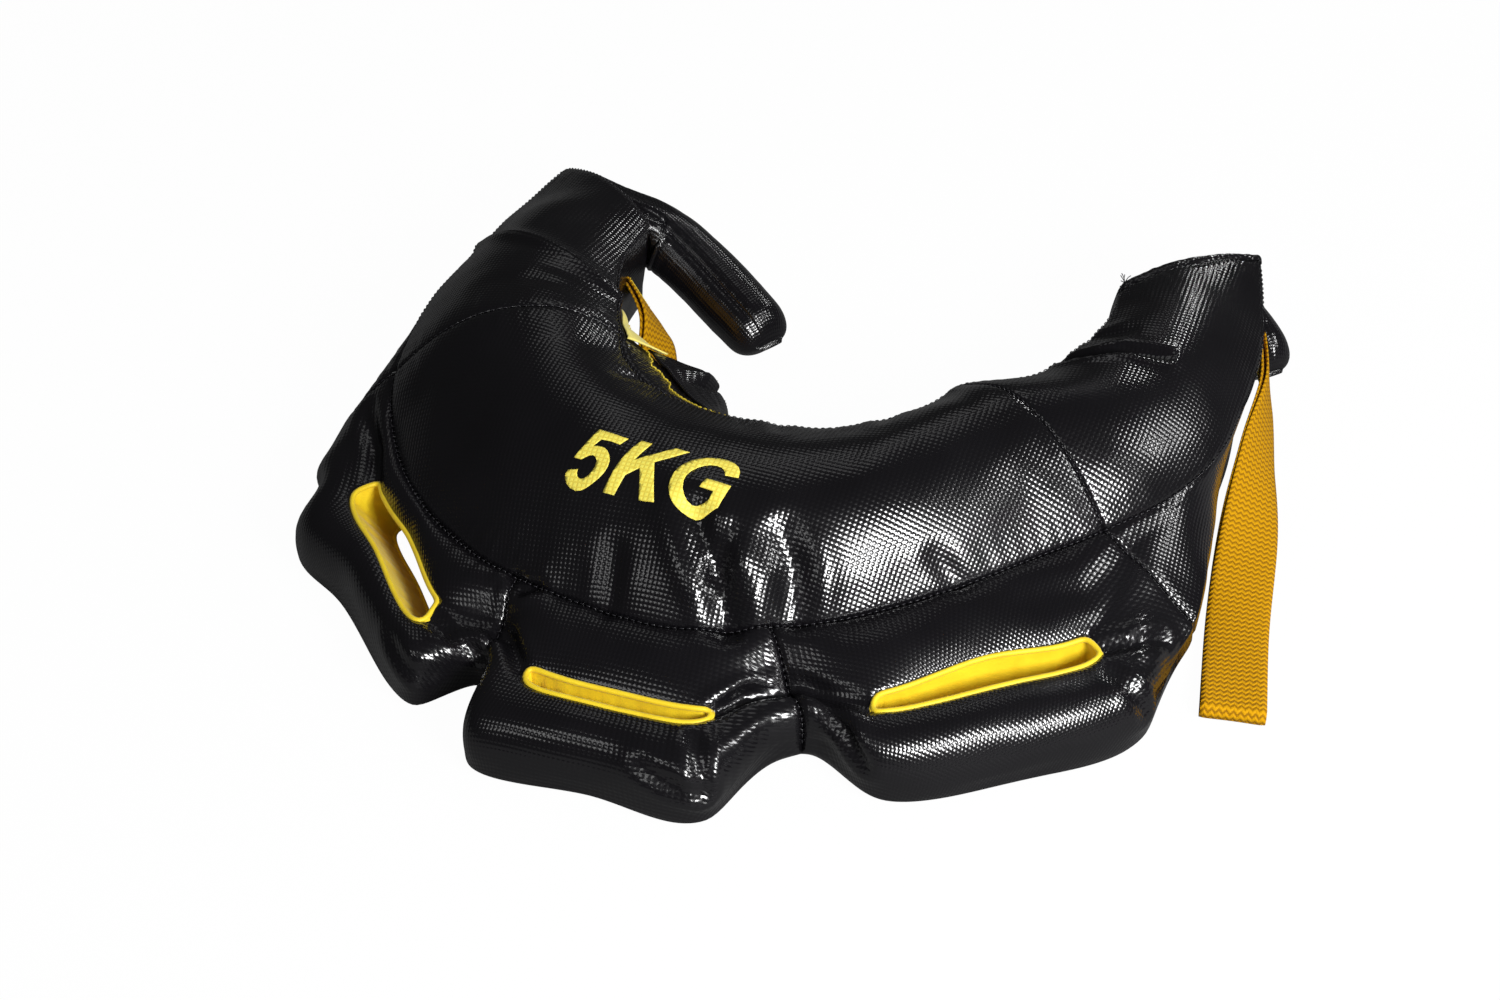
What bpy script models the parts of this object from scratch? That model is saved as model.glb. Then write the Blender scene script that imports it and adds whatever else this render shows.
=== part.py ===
import bpy
import bmesh
import math
from mathutils import Vector

for old in list(bpy.data.objects):
    bpy.data.objects.remove(old, do_unlink=True)

# Cloth, gaps and how finely the crescent is drawn
cover_thickness = 0.0012
piece_gap = 0.0010
seam_gap = 0.0010
columns_per_station = 2
end_ring_sides = 12

# Where the flat rest area lies from the middle of the drawing
rest_offset_y = 0.110

# Neck curve: a true arc, so the closure lies on it
neck_centre_shares = (-0.018, 0.166)
neck_radius = 0.119
neck_first_angle = math.radians(212)
neck_last_angle = math.radians(337)

# The bag lying on its back: half its width, its depth from grips to horns, its stuffed height
half_width = 0.280
lying_depth = 0.500
stuffed_height = 0.120

# Stations run round the crescent from the left horn's end to the right one's.
# Each gives plan points of the neck edge, main seam, slot edges and outer rim, as shares of the
# half width and the depth, then shares of the height: neck edge, seam, slot edge, rim, and how
# far the crown swells over the line between. None takes the neck arc, or no slot there.
first_neck_station = 3
last_neck_station = 15
ARC = None
station_shares = [
    ((-0.521, 0.316), (-0.832, 0.430), None, None, (-0.836, 0.412),
     0.708, 0.633, 0.500, 0.333, 0.133),
    ((-0.511, 0.200), (-0.882, 0.244), None, None, (-0.900, 0.252),
     0.767, 0.650, 0.533, 0.342, 0.200),
    ((-0.443, 0.092), (-0.907, 0.072), None, None, (-0.925, 0.068),
     0.800, 0.650, 0.533, 0.358, 0.250),
    (ARC, (-0.879, -0.072), None, None, (-0.971, -0.104),
     0.817, 0.600, 0.467, 0.333, 0.300),
    (ARC, (-0.793, -0.176), (-0.789, -0.226), (-0.832, -0.258), (-0.950, -0.268),
     0.817, 0.500, 0.408, 0.175, 0.300),
    (ARC, (-0.650, -0.264), (-0.654, -0.302), (-0.696, -0.340), (-0.786, -0.374),
     0.817, 0.475, 0.400, 0.150, 0.308),
    (ARC, (-0.489, -0.320), (-0.514, -0.374), (-0.532, -0.416), (-0.543, -0.476),
     0.817, 0.467, 0.383, 0.150, 0.308),
    (ARC, (-0.371, -0.342), None, None, (-0.357, -0.444),
     0.817, 0.467, 0.342, 0.208, 0.308),
    (ARC, (-0.236, -0.360), (-0.250, -0.454), (-0.250, -0.478), (-0.311, -0.552),
     0.817, 0.483, 0.383, 0.150, 0.308),
    (ARC, (-0.046, -0.372), (-0.057, -0.460), (-0.057, -0.484), (-0.057, -0.546),
     0.817, 0.500, 0.383, 0.150, 0.308),
    (ARC, (0.100, -0.354), (0.136, -0.448), (0.143, -0.472), (0.179, -0.548),
     0.817, 0.500, 0.383, 0.150, 0.308),
    (ARC, (0.189, -0.330), None, None, (0.314, -0.420),
     0.817, 0.500, 0.342, 0.208, 0.308),
    (ARC, (0.321, -0.292), (0.432, -0.368), (0.446, -0.398), (0.507, -0.450),
     0.817, 0.508, 0.392, 0.150, 0.308),
    (ARC, (0.507, -0.210), (0.614, -0.276), (0.657, -0.312), (0.732, -0.376),
     0.817, 0.533, 0.408, 0.150, 0.300),
    (ARC, (0.679, -0.118), (0.796, -0.204), (0.843, -0.228), (0.946, -0.274),
     0.825, 0.575, 0.417, 0.175, 0.292),
    (ARC, (0.771, -0.068), None, None, (0.996, -0.116),
     0.833, 0.600, 0.467, 0.300, 0.283),
    ((0.529, 0.120), (0.900, 0.016), None, None, (0.986, 0.012),
     0.850, 0.650, 0.517, 0.350, 0.250),
    ((0.600, 0.196), (0.968, 0.124), None, None, (0.957, 0.132),
     0.867, 0.700, 0.550, 0.367, 0.217),
    ((0.636, 0.268), (0.982, 0.292), None, None, (0.954, 0.296),
     0.883, 0.767, 0.583, 0.383, 0.167),
    ((0.632, 0.336), (0.918, 0.460), None, None, (0.918, 0.442),
     0.875, 0.867, 0.633, 0.400, 0.150),
]

# Shares across a section: body rows from neck edge to seam, lobe rows, and the grip roll's rows
body_shares = (0.0, 0.14, 0.38, 0.64, 0.87, 1.0)
near_slot_share = 0.50
far_slot_share = 0.70
roll_shares = (0.38, 0.78)
side_shares = (0.16, 0.34, 0.50, 0.66, 0.84, 1.0)
underside_share = 0.90
crown_power = 0.70
lobe_puff = 0.006
roll_puff = 0.004
rim_half_height = 0.006
underside_rise_body = 0.010
underside_rise_row = 0.0015
lobe_clearance_below = 0.004
gusset_bulge = 0.018
lining_bulge = -0.001
seam_row = len(body_shares) - 1

# Slots and lobes by station
lobe_spans = {"left": (3, 7), "centre": (7, 11), "right": (11, 15)}
slot_spans = {"left": (4, 6), "centre": (8, 10), "right": (12, 14)}

# Finger handles: points along the middle, in plan and height, with the radius at each
finger_left_path_shares = [(-0.591, 0.349, 0.483), (-0.521, 0.385, 0.479), (-0.404, 0.372, 0.392),
                           (-0.296, 0.316, 0.267), (-0.207, 0.264, 0.158)]
finger_right_path_shares = [(0.769, 0.400, 0.450), (0.727, 0.445, 0.446), (0.775, 0.500, 0.362),
                            (0.889, 0.515, 0.242), (0.989, 0.466, 0.150)]
finger_root_radius = 0.0225
finger_radii_shares = (1.0, 0.955, 0.89, 0.80, 0.667)
finger_ring_count = 2

# Webbing loops: middle line of the two layers, and how the band's width turns along it
webbing_width = 0.038
webbing_thickness = 0.0022
loop_spread = 0.0085
strap_right_path_shares = [(0.964, 0.396, 0.417), (1.005, 0.316, 0.375), (1.021, 0.216, 0.283),
                           (1.045, 0.100, 0.142), (1.073, -0.040, 0.060), (1.111, -0.180, 0.052)]
strap_right_lean = (84.0, 76.0, 52.0, 20.0, 0.0, 0.0)
strap_left_path_shares = [(-0.535, 0.272, 0.587, 1.0), (-0.454, 0.204, 0.483, 1.0),
                          (-0.396, 0.150, 0.267, 1.0),
                          (-0.253, 0.090, 0.100, 0.6), (-0.029, 0.044, 0.060, 0.0), (0.161, 0.052, 0.052, 0.0)]
strap_left_lean = (66.0, 56.0, 34.0, 10.0, 0.0, 0.0)
strap_ring_count = 2
fold_step_count = 4

# Closure on the neck gusset: angles round the neck arc, shares up the gusset wall, and stand-off
tab_angles = (math.radians(213), math.radians(222))
flap_angles = (math.radians(225), math.radians(258))
zip_angles = (math.radians(224), math.radians(326))
slider_angle = math.radians(266)
tape_shares = (0.30, 0.455)
lower_tape_shares = (0.545, 0.70)
teeth_shares = (0.468, 0.50, 0.532)
flap_top_share = 0.07
flap_shares = (0.16, 0.44)
tab_shares = (0.06, 0.44)
sewn_gap = 0.0006
tape_thickness = 0.0010
teeth_thickness = 0.0024
tab_thickness = 0.0012
flap_gap = 0.0016
flap_thickness = 0.0016
slider_gap = 0.0010
slider_thickness = 0.0035
slider_width = 0.0100
slider_height = 0.0090
pull_gap = 0.0008
pull_width = 0.0060
pull_thickness = 0.0016
pull_length = 0.0240
tape_lift = (sewn_gap, sewn_gap + tape_thickness)
teeth_lift = (sewn_gap, sewn_gap + teeth_thickness)
tab_lift = (sewn_gap, sewn_gap + tab_thickness)
flap_lift = (teeth_lift[1] + flap_gap, teeth_lift[1] + flap_gap + flap_thickness)
slider_lift = (teeth_lift[1] + slider_gap, teeth_lift[1] + slider_gap + slider_thickness)
pull_lift = (slider_lift[1] + pull_gap, slider_lift[1] + pull_gap + pull_thickness)


def plan(shares):
    return (shares[0] * half_width, shares[1] * lying_depth)


def spot_at(shares):
    """A place from its shares; a fourth share moves it outward with the bulge of the neck gusset."""
    x, y = plan(shares)
    return (x + gusset_bulge * sum(shares[3:]), y, shares[2] * stuffed_height)


# Finishes: colour, roughness and metallic value
vinyl = ((0.012, 0.012, 0.013), 0.35, 0.0)
nylon = ((0.86, 0.72, 0.03), 0.6, 0.0)
webbing = ((0.80, 0.55, 0.01), 0.7, 0.0)
filler = ((0.32, 0.30, 0.27), 0.9, 0.0)
tape = ((0.02, 0.02, 0.02), 0.7, 0.0)
metal = ((0.02, 0.02, 0.02), 0.4, 0.8)


def material(name, finish):
    rgb, roughness, metallic = finish
    mat = bpy.data.materials.new(name + "_surface")
    mat.use_nodes = True
    shader = mat.node_tree.nodes["Principled BSDF"]
    shader.inputs["Base Color"].default_value = (rgb[0], rgb[1], rgb[2], 1.0)
    shader.inputs["Roughness"].default_value = roughness
    shader.inputs["Metallic"].default_value = metallic
    return mat


def smooth_value(values, position):
    """Catmull-Rom value of a row of numbers at a place between stations."""
    last = len(values) - 1
    index = min(int(position), last - 1)
    part = position - index
    before = values[max(index - 1, 0)]
    start = values[index]
    finish = values[index + 1]
    after = values[min(index + 2, last)]
    lean_start = (finish - before) / 2
    lean_finish = (after - start) / 2
    square = part * part
    cube = square * part
    return (start * (2 * cube - 3 * square + 1) + lean_start * (cube - 2 * square + part)
            + finish * (3 * square - 2 * cube) + lean_finish * (cube - square))


def smooth_point(points, position):
    return Vector([smooth_value([p[axis] for p in points], position) for axis in range(len(points[0]))])


def arc_point(angle, radius):
    centre = plan(neck_centre_shares)
    return (centre[0] + radius * math.cos(angle), centre[1] + radius * math.sin(angle))


def between(a, b, share):
    return tuple(x + (y - x) * share for x, y in zip(a, b))


def neck_angle_at(position):
    share = (position - first_neck_station) / (last_neck_station - first_neck_station)
    return neck_first_angle + (neck_last_angle - neck_first_angle) * share


def station_section(index):
    """Top and bottom points at one station, from the neck edge to the outer rim."""
    inner, seam, near, far, rim = [pair and plan(pair) for pair in station_shares[index][:5]]
    z_inner, z_seam, z_slot, z_rim, swell = [share * stuffed_height for share in station_shares[index][5:]]
    if inner is None:
        inner = arc_point(neck_angle_at(index), neck_radius)
    on_horn = index <= first_neck_station or index >= last_neck_station
    if near is None:
        near = between(seam, rim, near_slot_share)
        far = between(seam, rim, far_slot_share)
    top = []
    bottom = []
    under_seam = between(inner, seam, underside_share if on_horn else body_shares[-1])
    for share in body_shares:
        rise = swell * math.sin(math.pi * share) ** crown_power
        top.append(between(inner, seam, share) + (z_inner + (z_seam - z_inner) * share + rise,))
        low = 0.0
        if share == body_shares[0]:
            low = underside_rise_body
        elif share == body_shares[-1]:
            low = underside_rise_row
        bottom.append(between(inner, under_seam, share) + (low,))
    rim_low = max(z_rim - rim_half_height, lobe_clearance_below + underside_rise_row)
    rim_high = z_rim + rim_half_height
    if on_horn:
        for share in side_shares:
            top.append(between(seam, rim, share) + (z_seam + (rim_high - z_seam) * share,))
            low = underside_rise_row + (rim_low - underside_rise_row) * share * share
            bottom.append(between(under_seam, rim, share) + (low,))
    else:
        top.append(between(seam, near, 1 / 2) + ((z_seam + z_slot) / 2 + lobe_puff,))
        top.append(near + (z_slot,))
        top.append(far + (z_slot,))
        bottom.append(between(seam, near, 1 / 2) + (lobe_clearance_below,))
        bottom.append(near + (lobe_clearance_below,))
        bottom.append(far + (lobe_clearance_below,))
        for share in roll_shares:
            round_off = math.sqrt(1 - share * share)
            top.append(between(far, rim, share) + (z_rim + (z_slot - z_rim) * round_off + roll_puff,))
            low = rim_low - (rim_low - lobe_clearance_below) * round_off
            bottom.append(between(far, rim, share) + (low,))
        top.append(rim + (rim_high,))
        bottom.append(rim + (rim_low,))
    return top, bottom


station_sections = [station_section(i) for i in range(len(station_shares))]
column_count = (len(station_shares) - 1) * columns_per_station + 1


def section(column):
    """A section between stations, eased from the ones round it."""
    position = column / columns_per_station
    sides = []
    for side in (0, 1):
        row_total = len(station_sections[0][side])
        drawn = [smooth_point([one[side][r] for one in station_sections], position) for r in range(row_total)]
        for spot in drawn:
            spot.z = max(spot.z, 0.0)
        if first_neck_station <= position <= last_neck_station:
            drawn[0].x, drawn[0].y = arc_point(neck_angle_at(position), neck_radius)
        sides.append(drawn)
    return sides


sections = [section(c) for c in range(column_count)]
row_count = len(sections[0][0])
near_row = seam_row + 2
far_row = seam_row + 3


def slot_name(cell_column, cell_row):
    if cell_row != near_row:
        return None
    for name, (first, last) in slot_spans.items():
        if first * columns_per_station <= cell_column < last * columns_per_station:
            return name
    return None


def is_cell(c, r):
    return 0 <= c < column_count - 1 and 0 <= r < row_count - 1 and slot_name(c, r) is None


def lobe_name(cell_column):
    for name, (first, last) in lobe_spans.items():
        if first * columns_per_station <= cell_column < last * columns_per_station:
            return name
    return None


def side_name(cell_column):
    return "left" if cell_column < (column_count - 1) / 2 else "right"


def third_name(cell_column):
    if cell_column < first_neck_station * columns_per_station:
        return "left"
    if cell_column >= last_neck_station * columns_per_station:
        return "right"
    return "centre"


def is_tip(cell_column):
    return cell_column < columns_per_station or cell_column >= column_count - 1 - columns_per_station


def cell_label(c, r, upper):
    if r < seam_row:
        if upper and is_tip(c):
            return "end_cap_" + side_name(c)
        return ("front_panel_" if upper else "back_panel_") + third_name(c)
    if is_tip(c):
        return "end_cap_" + side_name(c)
    lobe = lobe_name(c)
    return "grip_cover_" + lobe if lobe else "side_panel_" + side_name(c)


# The whole cover as one closed skin: upper side, underside and the walls that join them
points = {}
faces = []
for c in range(column_count):
    for r in range(row_count):
        points[("top", c, r)] = Vector(sections[c][0][r])
        points[("low", c, r)] = Vector(sections[c][1][r])
for c in range(column_count - 1):
    for r in range(row_count - 1):
        if is_cell(c, r):
            ring = [(c, r), (c, r + 1), (c + 1, r + 1), (c + 1, r)]
            faces.append((cell_label(c, r, True), [("top", a, b) for a, b in ring]))
            faces.append((cell_label(c, r, False), [("low", a, b) for a, b in reversed(ring)]))


def wall_label(c, r, other_c, other_r):
    slot = slot_name(other_c, other_r)
    if slot:
        return "slot_lining_" + slot
    if other_r < 0:
        return "neck_gusset_" + third_name(c)
    if other_c < 0 or other_c >= column_count - 1:
        return "end_cap_" + side_name(c)
    return cell_label(c, r, True)


wall_outward = {}
walls = []
for c in range(column_count - 1):
    for r in range(row_count - 1):
        if not is_cell(c, r):
            continue
        steps = [((c, r - 1), (c, r), (c + 1, r)), ((c, r + 1), (c + 1, r + 1), (c, r + 1)),
                 ((c - 1, r), (c, r + 1), (c, r)), ((c + 1, r), (c + 1, r), (c + 1, r + 1))]
        for other, first, second in steps:
            if is_cell(*other):
                continue
            label = wall_label(c, r, *other)
            walls.append((label, first, second))
            edge = points[("top",) + second] - points[("top",) + first]
            outward = Vector((edge.y, -edge.x, 0)).normalized()
            centre = sum((points[("top", a, b)] for a in (c, c + 1) for b in (r, r + 1)), Vector()) / 4
            if outward.dot(centre - points[("top",) + first]) > 0:
                outward = -outward
            for corner in (first, second):
                wall_outward.setdefault(corner, []).append((label, outward))
for label, first, second in walls:
    for corner in (first, second):
        key = ("mid",) + corner
        if key in points:
            continue
        upper_point = points[("top",) + corner]
        lower_point = points[("low",) + corner]
        outward = sum((item[1] for item in wall_outward[corner]), Vector()).normalized()
        bulge = 0.0
        kinds = {item[0][:4] for item in wall_outward[corner]}
        if kinds == {"neck"}:
            bulge = gusset_bulge
        elif kinds == {"slot"}:
            bulge = lining_bulge
        points[key] = (upper_point + lower_point) / 2 + outward * bulge
    faces.append((label, [("top",) + first, ("top",) + second, ("mid",) + second, ("mid",) + first]))
    faces.append((label, [("mid",) + first, ("mid",) + second, ("low",) + second, ("low",) + first]))


def face_normal(keys):
    a, b, c, d = [points[k] for k in keys]
    return (c - a).cross(d - b)


# Turn every face outward by growing from one upper face over shared edges
edge_faces = {}
for number, (label, keys) in enumerate(faces):
    for k in range(4):
        edge_faces.setdefault(frozenset((keys[k], keys[(k + 1) % 4])), []).append(number)
turned = {0: face_normal(faces[0][1]).z < 0}
queue = [0]
while queue:
    number = queue.pop()
    keys = faces[number][1]
    order = list(reversed(keys)) if turned[number] else keys
    for k in range(4):
        start, finish = order[k], order[(k + 1) % 4]
        for other in edge_faces[frozenset((start, finish))]:
            if other in turned:
                continue
            other_keys = faces[other][1]
            same = any(other_keys[j] == start and other_keys[(j + 1) % 4] == finish for j in range(4))
            turned[other] = same
            queue.append(other)
faces = [(label, list(reversed(keys)) if turned[n] else keys) for n, (label, keys) in enumerate(faces)]

normals = {key: Vector() for key in points}
for label, keys in faces:
    across = face_normal(keys).normalized()
    for key in keys:
        normals[key] += across
normals = {key: value.normalized() if value.length else Vector((0, 0, 1)) for key, value in normals.items()}


def world(point):
    return Vector((point[0], point[1] + rest_offset_y, point[2]))


def make_object(name, vertices, polygons, finish, pivot=None):
    """A closed solid, its origin on its joint where it has one."""
    origin = world(pivot) if pivot is not None else Vector()
    mesh = bpy.data.meshes.new(name)
    mesh.from_pydata([world(v) - origin for v in vertices], [], polygons)
    bm = bmesh.new()
    bm.from_mesh(mesh)
    bmesh.ops.triangulate(bm, faces=bm.faces)
    bmesh.ops.recalc_face_normals(bm, faces=bm.faces)
    bm.to_mesh(mesh)
    bm.free()
    mesh.materials.append(material(name, finish))
    obj = bpy.data.objects.new(name, mesh)
    obj.location = origin
    bpy.context.collection.objects.link(obj)
    return obj


def halves(keys):
    """The two triangles of a four-cornered face, always cut through the same corner."""
    start = keys.index(min(keys))
    turned_keys = keys[start:] + keys[:start]
    return [turned_keys[:3], [turned_keys[0], turned_keys[2], turned_keys[3]]]


def skin_piece(name, finish):
    """One sewn panel: its patch of the skin, thickened inward, drawn back from its seams."""
    patch = [keys for label, keys in faces if label == name]
    used = sorted({key for keys in patch for key in keys})
    number = {key: i for i, key in enumerate(used)}
    sides = {}
    for keys in patch:
        middle = sum((points[k] for k in keys), Vector()) / 4
        for k in range(4):
            pair = (keys[k], keys[(k + 1) % 4])
            sides[frozenset(pair)] = None if frozenset(pair) in sides else (pair, middle)
    border = [found[0] for found in sides.values() if found]
    pulls = {}
    for pair, middle in [found for found in sides.values() if found]:
        along = (points[pair[1]] - points[pair[0]]).normalized()
        inward = middle - points[pair[0]]
        inward -= along * inward.dot(along)
        for key in pair:
            pulls[key] = pulls.get(key, Vector()) + inward.normalized()
    outer = []
    inner = []
    for key in used:
        place = points[key].copy()
        if key in pulls:
            pull = pulls[key] - normals[key] * pulls[key].dot(normals[key])
            place += pull.normalized() * seam_gap / 2
            place.z = max(place.z, 0.0)
        outer.append(place)
        inner.append(place - normals[key] * cover_thickness)
    count = len(used)
    corners = [half for keys in patch for half in halves(keys)]
    polygons = [[number[k] for k in half] for half in corners]
    polygons += [[number[k] + count for k in reversed(half)] for half in corners]
    polygons += [[number[b], number[a], number[a] + count, number[b] + count] for a, b in border]
    return make_object(name, outer + inner, polygons, finish)


def filling_piece(name, chosen, finish):
    """One stuffed block: the same skin taken further in, closed by walls where it stops."""
    cells = [(c, r) for c in range(column_count - 1) for r in range(row_count - 1)
             if is_cell(c, r) and chosen(c, r)]
    cell_set = set(cells)
    vertices = []
    number = {}

    def vertex(key, c, r):
        if key not in number:
            around = [(a, b) for a in (key[1] - 1, key[1]) for b in (key[2] - 1, key[2])]
            mine = [cell for cell in around if cell in cell_set]
            place = points[key] - normals[key] * (cover_thickness + piece_gap)
            real = [cell for cell in around if is_cell(*cell)]
            if len(mine) < len(real):
                pull = Vector()
                for a, b in mine:
                    corners = [points[(key[0] if key[0] != "mid" else "top", a + i, b + j)]
                               for i in (0, 1) for j in (0, 1)]
                    pull += sum(corners, Vector()) / 4
                    pull -= points[(key[0] if key[0] != "mid" else "top", key[1], key[2])]
                pull -= normals[key] * pull.dot(normals[key])
                place += pull.normalized() * piece_gap
            number[key] = len(vertices)
            vertices.append(place)
        return number[key]

    polygons = []
    for c, r in cells:
        ring = [(c, r), (c, r + 1), (c + 1, r + 1), (c + 1, r)]
        for level in ("top", "low"):
            for half in halves([(level, a, b) for a, b in ring]):
                polygons.append([vertex(k, c, r) for k in half])
        steps = [((c, r - 1), (c, r), (c + 1, r)), ((c, r + 1), (c + 1, r + 1), (c, r + 1)),
                 ((c - 1, r), (c, r + 1), (c, r)), ((c + 1, r), (c + 1, r), (c + 1, r + 1))]
        for other, first, second in steps:
            if other in cell_set:
                continue
            if is_cell(*other):
                # an inner wall stops at the columns that carry a middle point as well
                low_row = [("low",) + second, ("low",) + first]
                ring_keys = [("top",) + first, ("top",) + second]
                if ("mid",) + second in points:
                    ring_keys.append(("mid",) + second)
                ring_keys += low_row
                if ("mid",) + first in points:
                    ring_keys.append(("mid",) + first)
                polygons.append([vertex(k, c, r) for k in ring_keys])
            else:
                for over, under in (("top", "mid"), ("mid", "low")):
                    for half in halves([(over,) + first, (over,) + second, (under,) + second, (under,) + first]):
                        polygons.append([vertex(k, c, r) for k in half])
    return make_object(name, vertices, polygons, finish)


for panel in sorted({label for label, keys in faces}):
    skin_piece(panel, nylon if panel.startswith("slot_lining") else vinyl)

first_body = first_neck_station * columns_per_station
last_body = last_neck_station * columns_per_station
filling_piece("filling_bag_left", lambda c, r: c < first_body, filler)
filling_piece("filling_bag_centre", lambda c, r: first_body <= c < last_body and r < seam_row, filler)
filling_piece("filling_bag_right", lambda c, r: c >= last_body, filler)
for lobe in lobe_spans:
    filling_piece("grip_filling_" + lobe, lambda c, r, lobe=lobe: lobe_name(c) == lobe and r >= seam_row, filler)


def path_frames(path, steps):
    """Evenly stepped points, directions and places along a smooth path."""
    total = (len(path) - 1) * steps
    placed = [spot_at(shares) for shares in path]
    spots = [smooth_point(placed, k / steps) for k in range(total + 1)]
    frames = []
    for k, spot in enumerate(spots):
        ahead = spots[min(k + 1, total)] - spots[max(k - 1, 0)]
        frames.append((spot, ahead.normalized(), k / steps))
    return frames


def ring_at(spot, direction, radius):
    side = direction.cross(Vector((0, 0, 1))).normalized()
    up = side.cross(direction).normalized()
    turn = 2 * math.pi / end_ring_sides
    return [spot + side * radius * math.cos(k * turn) + up * radius * math.sin(k * turn)
            for k in range(end_ring_sides)]


def tube_rings(path, shrink, tip_back):
    frames = path_frames(path, finger_ring_count)
    rings = []
    for k, (spot, direction, position) in enumerate(frames):
        if k == len(frames) - 1:
            spot = spot - direction * tip_back
        radius = finger_root_radius * smooth_value(finger_radii_shares, position) - shrink
        rings.append(ring_at(spot, direction, radius))
    return rings


def bridge(first_ring, second_ring, backward=False):
    """Triangles between two rings, cut the same way on the outside and on the inside."""
    triangles = []
    for k in range(end_ring_sides):
        after = (k + 1) % end_ring_sides
        a, b, c, d = first_ring + k, first_ring + after, second_ring + after, second_ring + k
        triangles += [[a, b, d], [b, c, d]] if backward else [[a, b, c], [a, c, d]]
    return triangles


def finger(side, path):
    """A stuffed finger handle: a cover open at its sewn root, and the filling inside it."""
    outer = tube_rings(path, 0.0, 0.0)
    inner = tube_rings(path, cover_thickness, cover_thickness)
    rings = outer + list(reversed(inner))
    vertices = [v for ring in rings for v in ring]
    polygons = []
    for k in range(len(rings)):
        if k == len(outer) - 1:
            continue
        polygons += bridge(k * end_ring_sides, (k + 1) % len(rings) * end_ring_sides, k >= len(outer))
    tip = (len(outer) - 1) * end_ring_sides
    polygons.append(list(range(tip, tip + end_ring_sides)))
    polygons.append(list(reversed(range(tip + end_ring_sides, tip + 2 * end_ring_sides))))
    root = spot_at(path[0])
    pivot = Vector((root[0], root[1], root[2] + finger_root_radius))
    make_object("finger_cover_" + side, vertices, polygons, vinyl, pivot)
    inset = cover_thickness + piece_gap
    core = tube_rings(path, inset, inset)
    vertices = [v for ring in core for v in ring]
    polygons = []
    for k in range(len(core) - 1):
        polygons += bridge(k * end_ring_sides, (k + 1) * end_ring_sides)
    polygons.append(list(range(end_ring_sides)))
    last = (len(core) - 1) * end_ring_sides
    polygons.append(list(range(last, last + end_ring_sides)))
    make_object("finger_filling_" + side, vertices, polygons, filler, pivot)


finger("left", finger_left_path_shares)
finger("right", finger_right_path_shares)


def strap(side, path, leans, pivot_drop):
    """A webbing loop of two layers, folded at its free end and open between the layers."""
    frames = path_frames(path, strap_ring_count)
    line = []
    for spot, direction, position in frames:
        lean = math.radians(smooth_value(leans, position))
        flat = direction.cross(Vector((0, 0, 1))).normalized()
        rise = flat.cross(direction).normalized()
        width = flat * math.cos(lean) + rise * math.sin(lean)
        lift = width.cross(direction).normalized()
        line.append((spot, direction, width, lift))
    half = loop_spread / 2
    lane = [(spot - lift * half, width, lift * -1) for spot, direction, width, lift in line]
    spot, direction, width, lift = line[-1]
    for k in range(1, fold_step_count):
        turn = math.pi * k / fold_step_count
        out = lift * -math.cos(turn) + direction * math.sin(turn)
        lane.append((spot + out * half, width, out))
    lane += [(spot + lift * half, width, lift) for spot, direction, width, lift in reversed(line)]
    vertices = []
    for spot, width, out in lane:
        for across, through in ((-1, -1), (1, -1), (1, 1), (-1, 1)):
            vertices.append(spot + width * across * webbing_width / 2 + out * through * webbing_thickness / 2)
    polygons = []
    for k in range(len(lane) - 1):
        for j in range(4):
            polygons.append([k * 4 + j, k * 4 + (j + 1) % 4, (k + 1) * 4 + (j + 1) % 4, (k + 1) * 4 + j])
    polygons.append([0, 1, 2, 3])
    last = (len(lane) - 1) * 4
    polygons.append([last, last + 1, last + 2, last + 3])
    pivot = Vector(spot_at(path[0])) - Vector((0, 0, pivot_drop))
    return make_object("strap_" + side, vertices, polygons, webbing, pivot)


strap("right", strap_right_path_shares, strap_right_lean, webbing_width / 2)
strap("left", strap_left_path_shares, strap_left_lean, 0.0)


def wall_at(angle, share, lift):
    """A point on the neck gusset's wall at an angle round the arc, and its stand-off."""
    position = first_neck_station + ((angle - neck_first_angle) / (neck_last_angle - neck_first_angle)
                                     * (last_neck_station - first_neck_station))
    height = smooth_value([one[0][0][2] for one in station_sections], position)
    middle = (height + underside_rise_body) / 2
    if share < 1 / 2:
        depth = gusset_bulge * share * 2
        z = height + (middle - height) * share * 2
    else:
        depth = gusset_bulge * (1 - share) * 2
        z = middle + (underside_rise_body - middle) * (share - 1 / 2) * 2
    x, y = arc_point(angle, neck_radius - depth - lift)
    return Vector((x, y, z))


def wall_strip(name, angles, loop, finish, pivot=None):
    """A strip sewn along the neck gusset between two angles, from its outline up the wall."""
    step = (neck_last_angle - neck_first_angle) / ((last_neck_station - first_neck_station) * columns_per_station)
    inside = [neck_first_angle + step * k for k in range(1, int((neck_last_angle - neck_first_angle) / step))]
    stops = [angles[0]] + [a for a in inside if angles[0] + step / 4 < a < angles[1] - step / 4] + [angles[1]]
    vertices = [wall_at(angle, share, lift) for angle in stops for share, lift in loop]
    count = len(loop)
    polygons = []
    for k in range(len(stops) - 1):
        for j in range(count):
            polygons.append([k * count + j, k * count + (j + 1) % count,
                             (k + 1) * count + (j + 1) % count, (k + 1) * count + j])
    polygons.append(list(range(count)))
    last = (len(stops) - 1) * count
    polygons.append(list(range(last, last + count)))
    return make_object(name, vertices, polygons, finish, pivot)


def band(shares, lifts):
    """The outline of a band of even thickness: out along the shares, back along the wall."""
    return [(share, lifts[1]) for share in shares] + [(share, lifts[0]) for share in reversed(shares)]


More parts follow.
